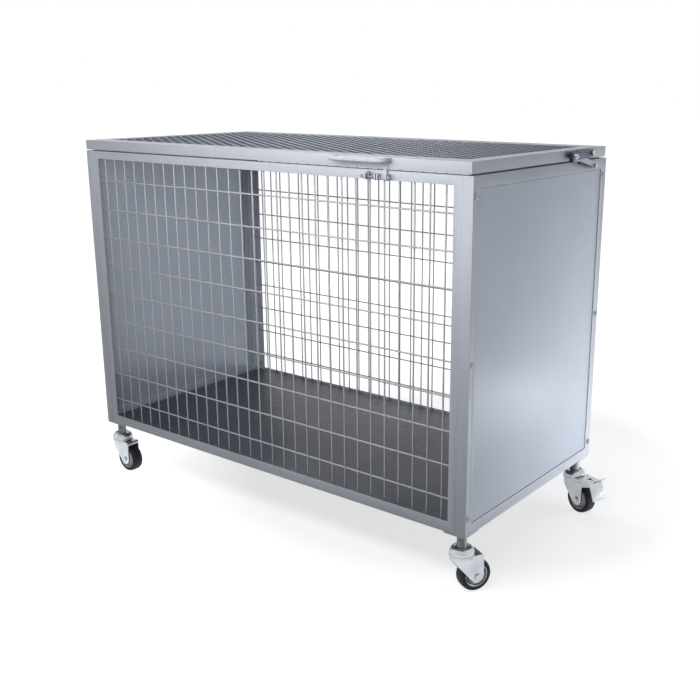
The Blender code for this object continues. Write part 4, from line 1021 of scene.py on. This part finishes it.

# %% [markdown]
# ## Floor, light and camera
#
# The photograph was taken on a white sweep. A long soft lamp in front is level with the lid, so
# the front rails darken towards the ground. A narrow one near the ground at the right makes the
# side panel brightest at its lower corner. A high lamp, a weak one far off and one behind fill
# in the rest. The floor is matt, so it keeps the soft shadow. Where it is seen, or mirrored in
# metal, it also glows: less in a round zone under the cage and to its right, a painted shadow
# that deepens the real one, and fully outside it, so that it meets the white world without a
# line.

# %% Rays that see the studio as white


def seen_rays(tree):
    """1 for camera, glossy and transmission rays, 0 for the rays that only carry light."""
    rays = tree.nodes.new("ShaderNodeLightPath")
    result = rays.outputs["Is Camera Ray"]
    for kind in ("Is Glossy Ray", "Is Transmission Ray"):
        either = tree.nodes.new("ShaderNodeMath")
        either.operation = "MAXIMUM"
        tree.links.new(result, either.inputs[0])
        tree.links.new(rays.outputs[kind], either.inputs[1])
        result = either.outputs["Value"]
    return result


print("ray test ready")

# %% Floor
FLOOR_SIZE = 60
FLOOR_GREY_LIT, FLOOR_GREY_SEEN = (0.12, 0.12, 0.12), (0.42, 0.42, 0.42)
# Inside a round zone under the cage and to its right the floor glows less: a painted shadow.
PAINTED_SHADOW_CENTRE = (0.20, 0.34, 0)
PAINTED_SHADOW_RADIUS, WHITE_RADIUS = 0.60, 0.94
PAINTED_SHADOW_GLOW, WHITE_GLOW = 0.70, 1.0
pick()
bpy.ops.mesh.primitive_plane_add(size=FLOOR_SIZE, location=(0, 0, 0))
floor = settle(bpy.context.active_object, "studio_floor")
floor_finish, floor_tree, floor_shader = start_finish("studio floor", 0.9, 0.0)
floor_seen = seen_rays(floor_tree)
floor_grey = blend_colours(floor_tree, floor_seen, FLOOR_GREY_LIT, FLOOR_GREY_SEEN)
floor_tree.links.new(floor_grey, floor_shader.inputs["Base Color"])
floor_shader.inputs["Specular IOR Level"].default_value = 0.1
floor_shader.inputs["Emission Color"].default_value = (1, 1, 1, 1)
floor_place = floor_tree.nodes.new("ShaderNodeTexCoord")
distance = floor_tree.nodes.new("ShaderNodeVectorMath")
distance.operation = "DISTANCE"
distance.inputs[1].default_value = PAINTED_SHADOW_CENTRE
glow = floor_tree.nodes.new("ShaderNodeMapRange")
glow.inputs["From Min"].default_value = PAINTED_SHADOW_RADIUS
glow.inputs["From Max"].default_value = WHITE_RADIUS
glow.inputs["To Min"].default_value = PAINTED_SHADOW_GLOW
glow.inputs["To Max"].default_value = WHITE_GLOW
only_seen = floor_tree.nodes.new("ShaderNodeMath")
only_seen.operation = "MULTIPLY"
floor_tree.links.new(floor_place.outputs["Object"], distance.inputs[0])
floor_tree.links.new(distance.outputs["Value"], glow.inputs["Value"])
floor_tree.links.new(glow.outputs["Result"], only_seen.inputs[0])
floor_tree.links.new(floor_seen, only_seen.inputs[1])
floor_tree.links.new(only_seen.outputs["Value"], floor_shader.inputs["Emission Strength"])
floor.data.materials.append(floor_finish)
print("floor glows", PAINTED_SHADOW_GLOW, "near the cage and", WHITE_GLOW, "far off")

# %% World: white where it is seen, a dim cool grey where it lights
SKY_LIT, SKY_SEEN = (0.07, 0.09, 0.12), (1, 1, 1)
world = bpy.data.worlds.new("studio")
bpy.context.scene.world = world
world.use_nodes = True
sky = world.node_tree
background = sky.nodes["Background"]
shade = blend_colours(sky, seen_rays(sky), SKY_LIT, SKY_SEEN)
sky.links.new(shade, background.inputs["Color"])
print("world ready")

# %% Lamps


def soft_lamp(name, place, target, size, power, mirrored):
    """A rectangular lamp, aimed at a target, that metal mirrors or not."""
    data = bpy.data.lights.new(name, "AREA")
    data.shape = "RECTANGLE"
    data.size, data.size_y = size
    data.energy = power
    lamp = bpy.data.objects.new(name, data)
    bpy.context.scene.collection.objects.link(lamp)
    lamp.location = place
    aim = Vector(target) - Vector(place)
    lamp.rotation_euler = aim.to_track_quat("-Z", "Y").to_euler()
    lamp.visible_camera = False
    lamp.visible_glossy = mirrored


soft_lamp("front lamp", (0.3, -0.95, 1.12), (0.25, -0.28, 0.93), (1.4, 0.4), 13.5, False)
soft_lamp("top lamp", (-1.8, 0.6, 3.2), (0, 0, 0.4), (1.4, 1.4), 32, True)
soft_lamp("far fill", (-2.4, -2.8, 1.4), (-0.3, 0, 0.6), (1.6, 1.4), 5, True)
soft_lamp("rear lamp", (-2.0, 3.0, 1.3), (-0.3, 0.2, 0.45), (1.6, 1.4), 26, False)
soft_lamp("side lamp", (1.35, 0.75, 0.045), (0.6, 0.25, 0.2), (0.8, 0.07), 20, False)
print("five soft lamps")

# %% Camera, fitted to the straight edges of the photograph
camera_data = bpy.data.cameras.new("view")
camera_data.lens = 48.83
camera_data.sensor_width = 36
camera_data.shift_x = -0.0496
camera_data.shift_y = -0.0127
camera = bpy.data.objects.new("view", camera_data)
bpy.context.scene.collection.objects.link(camera)
camera.location = (1.5672, -1.8349, 1.0687)
camera.rotation_euler = (math.radians(74.81), 0, math.radians(37.25))
bpy.context.scene.camera = camera
bpy.context.scene.view_settings.view_transform = "Standard"
print("camera in place")

# %% Import json
import json
